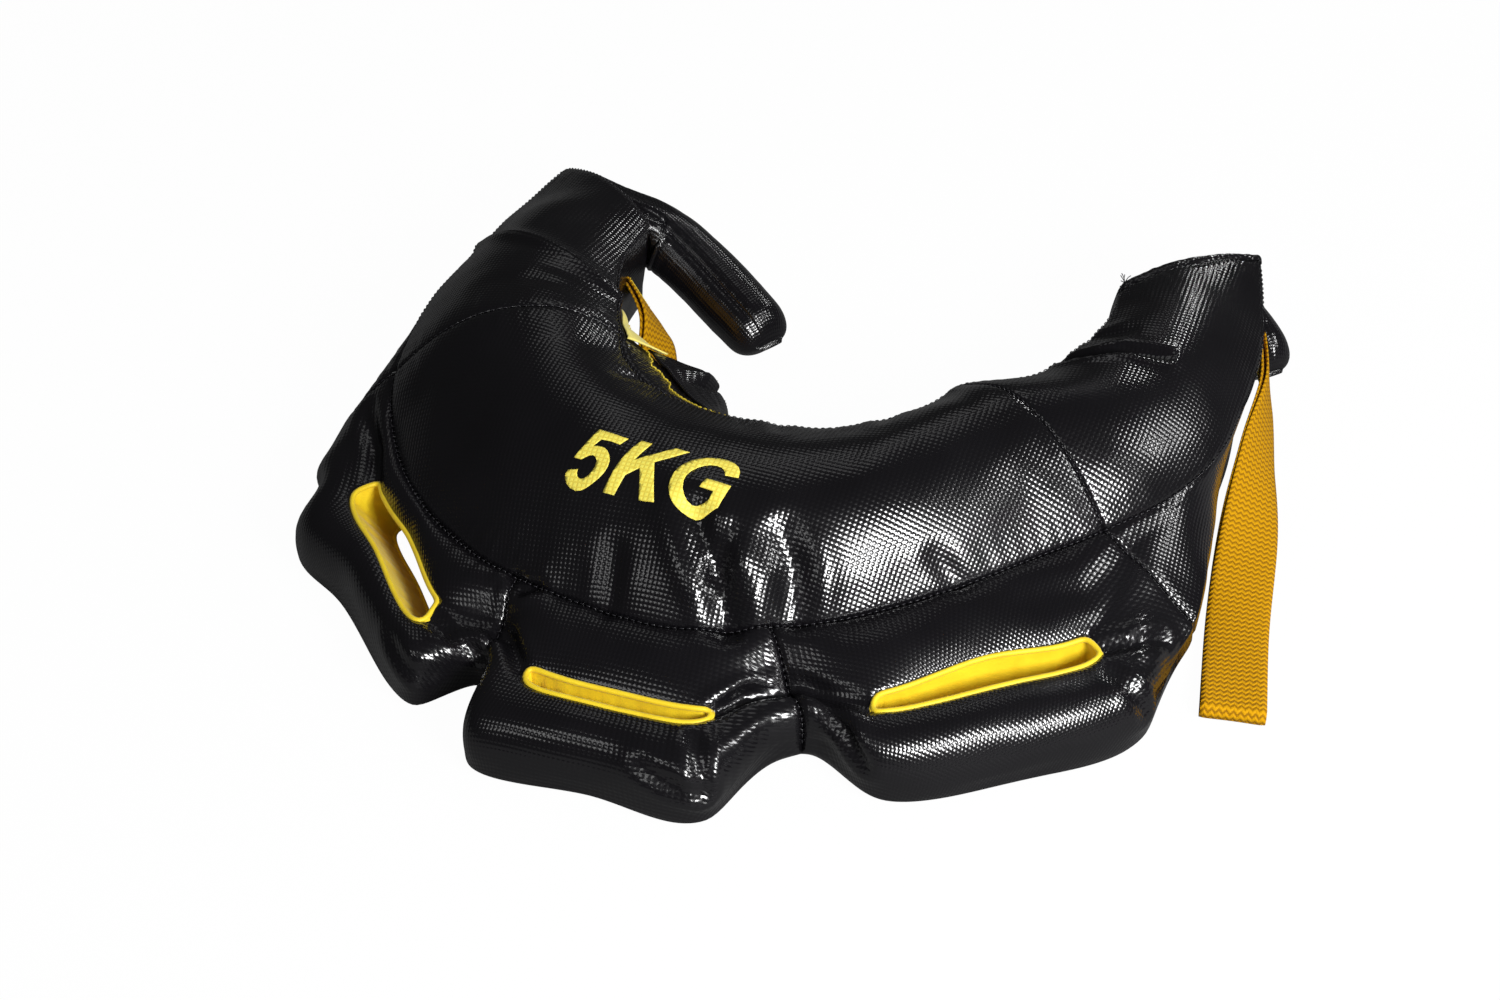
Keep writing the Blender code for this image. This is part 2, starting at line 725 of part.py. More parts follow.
wall_strip("zip_tape_upper", zip_angles, band(tape_shares, tape_lift), tape)
wall_strip("zip_tape_lower", zip_angles, band(lower_tape_shares, tape_lift), tape)
wall_strip("zip_teeth", zip_angles, band(teeth_shares, teeth_lift), tape)
wall_strip("neck_tab", tab_angles, band(tab_shares, tab_lift), nylon)

# The flap is sewn along its top edge and stands off over the zip
flap_outline = band(flap_shares, flap_lift)
flap_outline = [(flap_top_share, sewn_gap + flap_thickness)] + flap_outline + [(flap_top_share, sewn_gap)]
flap_ends = [wall_at(angle, flap_top_share, sewn_gap + flap_thickness) for angle in flap_angles]
wall_strip("closure_flap", flap_angles, flap_outline, vinyl, sum(flap_ends, Vector()) / len(flap_ends))


def block(name, angle, lift_span, width, z_span, finish, pivot_lift=None):
    vertices = []
    radial = Vector((math.cos(angle), math.sin(angle), 0))
    along = Vector((-math.sin(angle), math.cos(angle), 0))
    base = wall_at(angle, 1 / 2, 0.0)
    for z in z_span:
        for lift, side in ((0, -1), (0, 1), (1, 1), (1, -1)):
            spot = base - radial * lift_span[lift] + along * side * width / 2
            vertices.append(Vector((spot.x, spot.y, base.z + z)))
    polygons = [[0, 1, 2, 3], [4, 5, 6, 7], [0, 1, 5, 4], [1, 2, 6, 5], [2, 3, 7, 6], [3, 0, 4, 7]]
    pivot = Vector((*plan(neck_centre_shares), base.z))
    if pivot_lift is not None:
        pivot = base - radial * pivot_lift + Vector((0, 0, z_span[1]))
    return make_object(name, vertices, polygons, finish, pivot)


slider_span = (-slider_height / 2, slider_height / 2)
pull_span = (slider_height / 2 - pull_length, slider_height / 2)
block("zip_slider", slider_angle, slider_lift, slider_width, slider_span, metal)
block("zip_pull", slider_angle, pull_lift, pull_width, pull_span, metal, pull_lift[0])
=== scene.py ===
import math

import bmesh
import bpy
import numpy as np
from bpy.props import FloatProperty, FloatVectorProperty, IntProperty, PointerProperty
from mathutils import Matrix, Vector, kdtree, noise
from mathutils.bvhtree import BVHTree


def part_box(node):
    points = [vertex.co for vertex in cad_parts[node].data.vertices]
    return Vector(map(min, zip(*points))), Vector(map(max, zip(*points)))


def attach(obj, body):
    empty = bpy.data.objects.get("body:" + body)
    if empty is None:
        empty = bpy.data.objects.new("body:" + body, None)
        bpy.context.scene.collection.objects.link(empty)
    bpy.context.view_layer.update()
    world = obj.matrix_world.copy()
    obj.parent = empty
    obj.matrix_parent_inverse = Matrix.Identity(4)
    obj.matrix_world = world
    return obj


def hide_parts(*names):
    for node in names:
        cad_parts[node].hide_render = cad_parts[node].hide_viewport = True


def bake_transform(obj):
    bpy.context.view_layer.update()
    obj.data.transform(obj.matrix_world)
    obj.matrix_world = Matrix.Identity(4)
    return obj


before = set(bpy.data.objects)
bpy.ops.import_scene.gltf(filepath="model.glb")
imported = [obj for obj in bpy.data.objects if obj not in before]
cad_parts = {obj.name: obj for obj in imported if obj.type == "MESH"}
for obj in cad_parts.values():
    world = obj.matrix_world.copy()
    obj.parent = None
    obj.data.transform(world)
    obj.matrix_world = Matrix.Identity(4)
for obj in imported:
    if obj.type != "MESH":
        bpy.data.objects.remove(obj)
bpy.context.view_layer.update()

bl_info = {
    "name": "Bulgarian bag",
    "version": (1, 0, 0),
    "blender": (4, 5, 0),
    "location": "View3D > Sidebar > Bulgarian bag",
    "description": "Builds a stuffed horseshoe training bag: coated covers, lined grips, handles and webbing",
    "category": "Object",
}

# Outline of the bag as it lies on its back, in metres
HALF_WIDTH = 0.280
DEPTH = 0.500
HEIGHT = 0.120
# Where the drawing's middle comes to lie
REST = np.array([0.0, 0.110, 0.0])
NECK_CENTRE = (-0.018 * HALF_WIDTH, 0.166 * DEPTH)
NECK_RADIUS = 0.119
NECK_ANGLES = (math.radians(212), math.radians(337))
# The stations where the neck's arc starts and ends
FIRST_NECK, LAST_NECK = 3, 15

# Each station: neck edge, main seam, slot's near and far edge, outer rim (shares of the half
# width and the depth), then heights of edge, seam, slot and rim and the crown's swell (shares
# of the height). None takes the neck arc, or no slot there.
STATIONS = [
    ((-.521, .316), (-.832, .430), None, None, (-.836, .412), .708, .633, .500, .333, .110),
    ((-.511, .200), (-.882, .244), None, None, (-.900, .252), .767, .650, .533, .342, .200),
    ((-.443, .092), (-.907, .072), None, None, (-.925, .068), .800, .650, .533, .358, .250),
    (None, (-.879, -.072), None, None, (-.971, -.104), .817, .600, .467, .333, .300),
    (None, (-.793, -.176), (-.789, -.226), (-.832, -.258), (-.948, -.294), .817, .500, .408, .175, .300),
    (None, (-.650, -.264), (-.654, -.302), (-.696, -.340), (-.765, -.371), .817, .475, .400, .150, .308),
    (None, (-.489, -.320), (-.500, -.392), (-.518, -.436), (-.506, -.492), .817, .467, .383, .150, .308),
    (None, (-.371, -.342), None, None, (-.357, -.444), .817, .467, .342, .208, .308),
    (None, (-.236, -.360), (-.250, -.454), (-.250, -.478), (-.316, -.557), .817, .483, .383, .150, .308),
    (None, (-.046, -.372), (-.057, -.460), (-.057, -.484), (-.057, -.553), .817, .500, .383, .150, .308),
    (None, (.100, -.354), (.136, -.448), (.143, -.472), (.179, -.548), .817, .500, .383, .150, .308),
    (None, (.189, -.330), None, None, (.314, -.420), .817, .500, .342, .208, .308),
    (None, (.321, -.292), (.432, -.368), (.446, -.398), (.507, -.450), .817, .508, .392, .150, .308),
    (None, (.507, -.210), (.614, -.276), (.657, -.312), (.732, -.376), .817, .533, .408, .150, .300),
    (None, (.679, -.118), (.796, -.204), (.843, -.228), (.946, -.274), .825, .575, .417, .175, .292),
    (None, (.771, -.068), None, None, (.996, -.116), .833, .600, .467, .300, .283),
    ((.529, .120), (.900, .016), None, None, (.986, .012), .850, .650, .517, .350, .250),
    ((.600, .196), (.968, .124), None, None, (.957, .132), .867, .700, .550, .367, .217),
    ((.636, .268), (.982, .292), None, None, (.954, .296), .883, .767, .583, .383, .167),
    ((.632, .336), (.918, .460), None, None, (.918, .442), .875, .867, .633, .400, .085),
]
SLOT_SPANS = {"left": (4, 6), "centre": (8, 10), "right": (12, 14)}
LOBE_SPANS = {"left": (3, 7), "centre": (7, 11), "right": (11, 15)}
# How far the neck gusset stands out at each station, and each horn's end wall
GUSSET_BULGE = (0.003, 0.003, 0.009, 0.030, 0.041, 0.039, 0.032, 0.024, 0.018, 0.018, 0.018, 0.018,
                0.018, 0.018, 0.017, 0.013, 0.008, 0.006, 0.005, 0.005)
END_BULGE = {"left": 0.006, "right": 0.024}
# How far each grip slot's near and far walls lean away from the body on their way down
SLOT_LEAN = {"left": (-0.028, -0.024), "centre": (0.003, 0.003), "right": (0.005, 0.004)}
# How far the neck's upper edge is pulled back at each station, so that the gusset shows below it,
# and over how many rows
NECK_PULL = (0.0, 0.0, 0.002, 0.006, 0.010, 0.010, 0.008, 0.005, 0.002, 0.0)
PULL_ROWS = 12
# How far in under the left horn its inner wall's foot lies: stations, and shares of the way to the main seam
HORN_FOOT = ((0, 2, 4), (0.13, 0.11, 0.0))
# Shares of the way from the main seam to the rim: the near roll, the slot, and where the far roll starts
NEAR_SHARE, GAP_SHARE, ROLL_SHARE = 0.34, 0.16, 0.50
# Where a slot's two edges would lie at a station that has none
PLAIN_SLOT = (0.50, 0.70)
# How high the underside lies at the main seam and at a slot
SEAM_FOOT, SLOT_FOOT = 0.0015, 0.004
# The cap seams: where each starts, in stations, and how far it runs aslant over the body
CAP_LEFT, CAP_RIGHT = (1.25, 0.50), (18.66, 0.28)

# Where the rim is drawn in beside a grip's corner: from and to station, and by what share
DENTS = ((3.55, 4.02, 0.20), (6.15, 6.85, 0.10), (10.15, 10.85, 0.10), (14.15, 14.85, 0.06))

# How finely the cover is drawn
PER_STATION = 10
BODY_STEPS = 36
NEAR_STEPS, GAP_STEPS, ROLL_STEPS = 9, 3, 9
WALL_STEPS = 12
COLUMNS = (len(STATIONS) - 1) * PER_STATION + 1
SEAM_ROW = BODY_STEPS
NEAR_ROW = SEAM_ROW + NEAR_STEPS
FAR_ROW = NEAR_ROW + GAP_STEPS
RIM_ROW = FAR_ROW + ROLL_STEPS
ROWS = RIM_ROW + 1
# The stations at the grip lobes' ends
TURNS = (FIRST_NECK, 7, 11, LAST_NECK)

# Paths of the handles and of the webbing's two layers, in metres from the drawing's middle
FINGER_PATHS = {
    "left": [(-.1655, .1745, .060), (-.147, .1830, .054), (-.116, .1740, .041), (-.083, .1555, .030),
             (-.052, .136, .021)],
    "right": [(.2153, .200, .056), (.2035, .2225, .0535), (.217, .248, .0420), (.248, .2500, .027),
              (.276, .223, .0175)],
}
FINGER_RADIUS = 0.0225
FINGER_TAPER = (1.04, 1.03, 1.04, 1.04, 0.90)
# Each handle's gathered root: half width, half height and shift, and the turn of its seam round it
FINGER_ROOTS = {"left": (0.044, 0.028, 0.025, 60.0), "right": (0.036, 0.026, 0.0, 95.0)}
# Each handle's pinched tip: where it starts, how long it is, and how much flatter and narrower it ends
TIP_START, TIP_LENGTH = 3.40, 0.60
TIP_FLATTER, TIP_NARROWER = 0.80, 0.42
# The tip's sewn edge: rings ahead of the path's end, with their half widths and half heights
TIP_FLANGE = ((0.0016, 0.0098, 0.0016), (0.0032, 0.0084, 0.0012), (0.0037, 0.0078, 0.0007))
# Square out of each horn's end wall, where its handle starts
END_WAYS = {"left": (0.548, 0.836, 0.0), "right": (-0.61, 0.79, 0.0)}
STRAP_PATHS = {
    "right": [(.2699, .198, .050), (.2814, .158, .045), (.2859, .108, .034), (.2926, .050, .017),
              (.3004, -.020, .0072), (.311, -.090, .0062)],
    "left": [(-.1475, .124, .0530), (-.120, .095, .048), (-.105, .069, .028), (-.073, .037, .011),
             (-.020, .015, .0072), (.033, .021, .0062)],
}
# How far the webbing leans over at each point of its path, in degrees
STRAP_LEANS = {"right": (84, 76, 52, 20, 0, 0), "left": (66, 60, 44, 16, 0, 0)}
# How far a loop's two layers part at the fold, and what share of that they keep at the root
LOOP_SPREAD, ROOT_SPREAD = 0.0085, 0.28
WEBBING_THICKNESS = 0.0022

# What this script learns as it goes: the finished skin, read by the pieces sewn on it
SKIN = {}


def smooth_rows(rows, position):
    """Catmull-Rom row of points at a place between the stations' rows."""
    last = len(rows) - 1
    index = min(int(position), last - 1)
    part = position - index
    before, start = rows[max(index - 1, 0)], rows[index]
    finish, after = rows[index + 1], rows[min(index + 2, last)]
    lean_start, lean_finish = (finish - before) / 2, (after - start) / 2
    return (start * (2 * part**3 - 3 * part**2 + 1) + lean_start * (part**3 - 2 * part**2 + part)
            + finish * (3 * part**2 - 2 * part**3) + lean_finish * (part**3 - part**2))


def neck_angle(position):
    """The turn round the neck at a place between the stations."""
    turn = NECK_ANGLES[1] - NECK_ANGLES[0]
    return NECK_ANGLES[0] + turn * (position - FIRST_NECK) / (LAST_NECK - FIRST_NECK)


def neck_point(position, radius=NECK_RADIUS):
    """A place on the neck's circle, seen from above."""
    angle = neck_angle(position)
    return np.array([NECK_CENTRE[0] + radius * math.cos(angle), NECK_CENTRE[1] + radius * math.sin(angle)])


def station_rows(index):
    """Fine top and bottom rows at one station: across the body, then over the grip or the side."""
    raw = STATIONS[index]
    inner, seam, near, far, rim = [None if p is None else np.array([p[0] * HALF_WIDTH, p[1] * DEPTH])
                                   for p in raw[:5]]
    z_inner, z_seam, z_slot, z_rim, swell = [v * HEIGHT for v in raw[5:]]
    if inner is None:
        inner = neck_point(index)
    on_horn = index <= FIRST_NECK or index >= LAST_NECK
    lean = (0.0, 0.0)
    if near is None:
        near, far = [seam + (rim - seam) * share for share in PLAIN_SLOT]
    for name, (first, last) in SLOT_SPANS.items():
        if first <= index <= last:
            lean = SLOT_LEAN[name]
    across = (far - near) / np.linalg.norm(far - near)
    near_low, far_low = near + across * lean[0], far + across * lean[1]
    top, low = [], []
    # the left horn's inner wall slopes in under it
    foot = inner + (seam - inner) * float(np.interp(index, *HORN_FOOT))
    under_seam = inner + (seam - inner) * (0.90 if on_horn else 0.83 if lean[0] < -0.02 else 1.0)
    for k in range(BODY_STEPS + 1):
        s = k / BODY_STEPS
        rise = swell * math.sin(math.pi * s) ** (0.70 + 0.25 * max(0.0, 1 - s / 0.4, 1 - (1 - s) / 0.45))
        top.append([*(inner + (seam - inner) * s), z_inner + (z_seam - z_inner) * s + rise])
        edge = min(s / 0.14, 1.0)
        tail = min((1 - s) / 0.13, 1.0)
        low.append([*(foot + (under_seam - foot) * s), 0.010 * (1 - edge) ** 2 + SEAM_FOOT * (1 - tail) ** 2])
    rim_high, rim_low = z_rim + 0.003, max(z_rim - 0.009, 0.0050)
    shares = [NEAR_SHARE * k / NEAR_STEPS for k in range(1, NEAR_STEPS + 1)]
    shares += [NEAR_SHARE + GAP_SHARE * k / GAP_STEPS for k in range(1, GAP_STEPS + 1)]
    shares += [ROLL_SHARE + (1 - ROLL_SHARE) * k / ROLL_STEPS for k in range(1, ROLL_STEPS + 1)]
    for k, s in enumerate(shares):
        if on_horn:
            top.append([*(seam + (rim - seam) * s),
                        z_seam + (rim_high - z_seam) * s + 0.002 * math.sin(math.pi * s)])
            low.append([*(under_seam + (rim - under_seam) * s), SEAM_FOOT + (rim_low - SEAM_FOOT) * s * s])
            continue
        if k < NEAR_STEPS:
            u = (k + 1) / NEAR_STEPS
            z = z_seam + (z_slot - z_seam) * u + 0.005 * math.sin(math.pi * u) ** 0.8
            top.append([*(seam + (near - seam) * u), z])
            low.append([*(under_seam + (near_low - under_seam) * u),
                        SEAM_FOOT + (SLOT_FOOT - SEAM_FOOT) * min(3 * u, 1)])
        elif k < NEAR_STEPS + GAP_STEPS:
            u = (k + 1 - NEAR_STEPS) / GAP_STEPS
            top.append([*(near + (far - near) * u), z_slot])
            low.append([*(near_low + (far_low - near_low) * u), SLOT_FOOT])
        else:
            u = (k + 1 - NEAR_STEPS - GAP_STEPS) / ROLL_STEPS
            # quarter-round roll from the slot's far edge down to the rim
            swing = math.sin(math.pi / 2 * u)
            fall = math.cos(math.pi / 2 * u)
            z = rim_high + (z_slot - rim_high) * fall + 0.006 * math.sin(math.pi * u)
            top.append([*(far + (rim - far) * swing), z])
            low.append([*(far_low + (rim - far_low) * swing), rim_low - (rim_low - SLOT_FOOT) * fall])
    return np.array(top), np.array(low)


def slide(position, share):
    """Where a drawn column lies: the cap seams run aslant, off the stations they start from."""
    last = len(STATIONS) - 1
    near_left = CAP_LEFT[0] + CAP_LEFT[1] * (1 - min(share, 1.0))
    near_right = CAP_RIGHT[0] + CAP_RIGHT[1] * min(share, 1.0)
    return float(np.interp(position, [0, 1, FIRST_NECK, LAST_NECK, last - 1, last],
                           [0, near_left, FIRST_NECK, LAST_NECK, near_right, last]))


def cover_sections():
    """Sections of the whole cover between the stations, top and bottom."""
    drawn = [station_rows(i) for i in range(len(STATIONS))]
    sides = []
    for side in (0, 1):
        rows = [d[side] for d in drawn]
        fine = np.zeros((COLUMNS, ROWS, 3))
        for c in range(COLUMNS):
            position = c / PER_STATION
            for r in range(ROWS):
                fine[c, r] = smooth_rows([row[r] for row in rows], slide(position, r / SEAM_ROW))
            if FIRST_NECK <= position <= LAST_NECK:
                fine[c, 0, :2] = neck_point(position)
            if side == 0:
                pull = float(np.interp(position, range(len(NECK_PULL)), NECK_PULL))
                way = fine[c, SEAM_ROW, :2] - fine[c, 0, :2]
                way = way / np.linalg.norm(way)
                for r in range(PULL_ROWS):
                    fine[c, r, :2] += way * pull * (1 - r / PULL_ROWS) ** 1.5
        for start, end, share in DENTS:
            for c in range(math.ceil(start * PER_STATION), int(end * PER_STATION) + 1):
                dent = share * math.sin(math.pi * (c / PER_STATION - start) / (end - start)) ** 0.7
                seam = fine[c, SEAM_ROW, :2].copy()
                for r in range(SEAM_ROW + 1, ROWS):
                    fine[c, r, :2] -= (fine[c, r, :2] - seam) * dent * (r - SEAM_ROW) / (RIM_ROW - SEAM_ROW)
        fine[:, :, 2] = np.maximum(fine[:, :, 2], 0.0)
        sides.append(fine + REST)
    return sides


def slot_at(c, r):
    """The name of the grip slot that takes a cell of the grid, or None."""
    if NEAR_ROW <= r < FAR_ROW:
        for name, (first, last) in SLOT_SPANS.items():
            if first * PER_STATION <= c < last * PER_STATION:
                return name
    return None


def is_cell(c, r):
    """Whether a cell of the grid is cloth: inside the outline and in no slot."""
    return 0 <= c < COLUMNS - 1 and 0 <= r < ROWS - 1 and slot_at(c, r) is None


def panel_at(c, r, upper):
    """The name of the sewn panel that a cell of the cover belongs to."""
    side = "left" if c < (COLUMNS - 1) / 2 else "right"
    tip = c < PER_STATION or c >= COLUMNS - 1 - PER_STATION
    third = "left" if c < FIRST_NECK * PER_STATION else "right" if c >= LAST_NECK * PER_STATION else "centre"
    if r < SEAM_ROW:
        if upper and tip:
            return "end_cap_" + side
        return ("front_panel_" if upper else "back_panel_") + third
    if tip:
        return "end_cap_" + side
    for name, (first, last) in LOBE_SPANS.items():
        if first * PER_STATION <= c < last * PER_STATION:
            return "grip_cover_" + name
    return "side_panel_" + side


class Cover:
    """The bag's whole closed skin as one grid, before it is parted into its panels."""

    def __init__(self):
        self.top, self.low = cover_sections()
        top = self.top
        self.points, self.index, self.faces, self.wall_way = [], {}, [], {}
        self.flat = self.unroll(top)
        walls, outward = [], {}
        for c in range(COLUMNS - 1):
            for r in range(ROWS - 1):
                if not is_cell(c, r):
                    continue
                ring = [(c, r), (c + 1, r), (c + 1, r + 1), (c, r + 1)]
                self.face(panel_at(c, r, True), [(0, a, b) for a, b in reversed(ring)])
                self.face(panel_at(c, r, False), [(WALL_STEPS, a, b) for a, b in ring])
                around = (((c, r - 1), (c, r), (c + 1, r)), ((c, r + 1), (c + 1, r + 1), (c, r + 1)),
                          ((c - 1, r), (c, r + 1), (c, r)), ((c + 1, r), (c + 1, r), (c + 1, r + 1)))
                for other, first, second in around:
                    if is_cell(*other):
                        continue
                    end = other[0] < 0 or other[0] >= COLUMNS - 1
                    slot = slot_at(*other)
                    if slot:
                        label = "slot_lining_" + slot
                    elif other[1] < 0:
                        label = "neck_gusset_" + panel_at(c, 0, False).split("_")[-1]
                    elif end:
                        label = "end_cap_" + ("left" if other[0] < 0 else "right")
                    else:
                        label = panel_at(c, r, True)
                    edge = top[second] - top[first]
                    out = np.array([edge[1], -edge[0]])
                    middle = top[c:c + 2, r:r + 2, :2].reshape(-1, 2).mean(0) - top[first][:2]
                    if out @ middle > 0:
                        out = -out
                    out = out / max(np.linalg.norm(out), 1e-9)
                    walls.append((label, first, second))
                    for corner in (first, second):
                        outward.setdefault(corner, []).append(("end" if end else label.split("_")[0], out))
        for corner, found in outward.items():
            way = sum(v for _, v in found)
            kinds = {kind for kind, _ in found}
            bulge = 0.0
            if kinds == {"neck"}:
                bulge = float(np.interp(corner[0] / PER_STATION, range(len(GUSSET_BULGE)), GUSSET_BULGE))
            elif kinds == {"end"}:
                side = "left" if corner[0] == 0 else "right"
                bulge = END_BULGE[side] * math.sin(math.pi * corner[1] / RIM_ROW)
            self.wall_way[corner] = (way / max(np.linalg.norm(way), 1e-9), bulge)
        for label, first, second in walls:
            for k in range(WALL_STEPS):
                self.face(label, [(k, *first), (k, *second), (k + 1, *second), (k + 1, *first)])

    def unroll(self, top):
        """Flat cloth coordinates: each section laid out to its true length from the crown."""
        flat = np.zeros((COLUMNS, ROWS, 2))
        for c in range(COLUMNS):
            section = top[c]
            crown = BODY_STEPS // 2
            way = section[SEAM_ROW, :2] - section[0, :2]
            way = way / np.linalg.norm(way)
            steps = np.linalg.norm(np.diff(section, axis=0), axis=1)
            run = np.concatenate([[0], np.cumsum(steps)])
            flat[c] = section[crown, :2] + np.outer(run - run[crown], way)
        return flat

    def vertex(self, key):
        if key not in self.index:
            level, c, r = key
            place = self.top[c, r]
            if level:
                u = level / WALL_STEPS
                place = self.top[c, r] * (1 - u) + self.low[c, r] * u
                if (c, r) in self.wall_way:
                    way, bulge = self.wall_way[(c, r)]
                    round_off = 2.6 if c in (0, COLUMNS - 1) else 1.7
                    place = place + np.array([way[0], way[1], 0]) * bulge * (1 - abs(2 * u - 1) ** round_off)
            self.index[key] = len(self.points)
            self.points.append(place)
        return self.index[key]

    def cloth(self, key, wall):
        """Where a corner lies on the flat cloth, in metres."""
        level, c, r = key
        if not wall:
            return self.flat[c, r] if level == 0 else self.low[c, r, :2]
        way = self.wall_way[(c, r)][0]
        drop = (self.top[c, r, 2] - self.low[c, r, 2]) * level / WALL_STEPS
        return self.flat[c, r] + way * drop

    def face(self, label, keys):
        self.faces.append((label, [self.vertex(k) for k in keys], keys))

    def uv(self):
        values = []
        for _, _, keys in self.faces:
            wall = len({k[0] for k in keys}) > 1
            values += [self.cloth(k, wall) for k in keys]
        return values


# Small helpers

def mesh_object(name, vertices, polygons, uvs=None, smooth=True):
    """A new object at the origin, with its place in its mesh."""
    mesh = bpy.data.meshes.new(name)
    mesh.from_pydata([tuple(v) for v in vertices], [], [list(p) for p in polygons])
    if uvs is not None:
        layer = mesh.uv_layers.new(name="cloth")
        layer.data.foreach_set("uv", np.array(uvs, dtype=np.float32).reshape(-1))
    if smooth:
        mesh.polygons.foreach_set("use_smooth", [True] * len(mesh.polygons))
    obj = bpy.data.objects.new(name, mesh)
    bpy.context.collection.objects.link(obj)
    return obj


def only(obj):
    """Selects one object alone and makes it active."""
    bpy.ops.object.select_all(action="DESELECT")
    obj.select_set(True)
    bpy.context.view_layer.objects.active = obj


def finish_modifier(obj, kind, **settings):
    """Adds a modifier to an object and applies it at once."""
    only(obj)
    bpy.ops.object.modifier_add(type=kind)
    modifier = obj.modifiers[-1]
    for key, value in settings.items():
        setattr(modifier, key, value)
    bpy.ops.object.modifier_apply(modifier=modifier.name)


def coordinates(mesh):
    """A mesh's points as rows of x, y and z."""
    values = np.empty(len(mesh.vertices) * 3)
    mesh.vertices.foreach_get("co", values)
    return values.reshape(-1, 3)


def normals_of(mesh):
    """A mesh's normals at its points."""
    values = np.empty(len(mesh.vertices) * 3)
    mesh.vertices.foreach_get("normal", values)
    return values.reshape(-1, 3)


def dress(obj, mat, body, replaced=()):
    """Gives a finished piece its material, the nodes it stands for and the body it rides on."""
    obj.data.materials.clear()
    obj.data.materials.append(mat)
    if replaced:
        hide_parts(*replaced)
    if body:
        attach(obj, body)
    return obj


def turn_outward(obj, merge=True):
    """Turns a closed piece's faces outward, with points that coincide merged first."""
    bm = bmesh.new()
    bm.from_mesh(obj.data)
    if merge:
        bmesh.ops.remove_doubles(bm, verts=bm.verts, dist=1e-6)
    bmesh.ops.recalc_face_normals(bm, faces=bm.faces)
    bm.to_mesh(obj.data)
    bm.free()


def wave_noise(place, size):
    """Smooth noise whose waves are about as long as the size given."""
    return noise.noise(Vector(place) / size)


def between(span, share):
    """The value at a share of the way through a span."""
    return span[0] + (span[1] - span[0]) * share


def kd_tree(points):
    """A search tree of a row of points."""
    tree = kdtree.KDTree(len(points))
    for i, point in enumerate(points):
        tree.insert(point, i)
    tree.balance()
    return tree


def points_near(place, line, reach):
    """Which points lie within reach of the box round a line."""
    low, high = line.min(0) - reach, line.max(0) + reach
    return np.where(np.all((place > low) & (place < high), axis=1))[0]


# Materials

def linear(hex_colour):
    """sRGB hex to the linear values that shaders take."""
    values = [int(hex_colour[i:i + 2], 16) / 255 for i in (1, 3, 5)]
    return tuple(v / 12.92 if v <= 0.04045 else ((v + 0.055) / 1.055) ** 2.4 for v in values) + (1.0,)


def node(tree, kind, settings=(), inputs=(), links=()):
    """Adds one node with its settings, fixed inputs and links."""
    made = tree.nodes.new(kind)
    for key, value in dict(settings).items():
        setattr(made, key, value)
    for key, value in dict(inputs).items():
        made.inputs[key].default_value = value
    for key, source in dict(links).items():
        tree.links.new(source, made.inputs[key])
    return made


def surface(name, values):
    """A node material and its Principled shader, with the shader's constants set."""
    mat = bpy.data.materials.new(name)
    mat.use_nodes = True
    shader = mat.node_tree.nodes["Principled BSDF"]
    for key, value in values.items():
        shader.inputs[key].default_value = value
    return mat, mat.node_tree, shader


# The weave's squares on the coated cloth, with the ink's over them
WEAVE_SIZE = 0.0029
# The webbing's chevrons: half their width, their pitch along the band, and the pitch of its threads
CHEVRON_HALF, CHEVRON_PITCH, WEBBING_THREAD = 0.0021, 0.0038, 0.0009
# Materials made so far, by name
MADE = {}


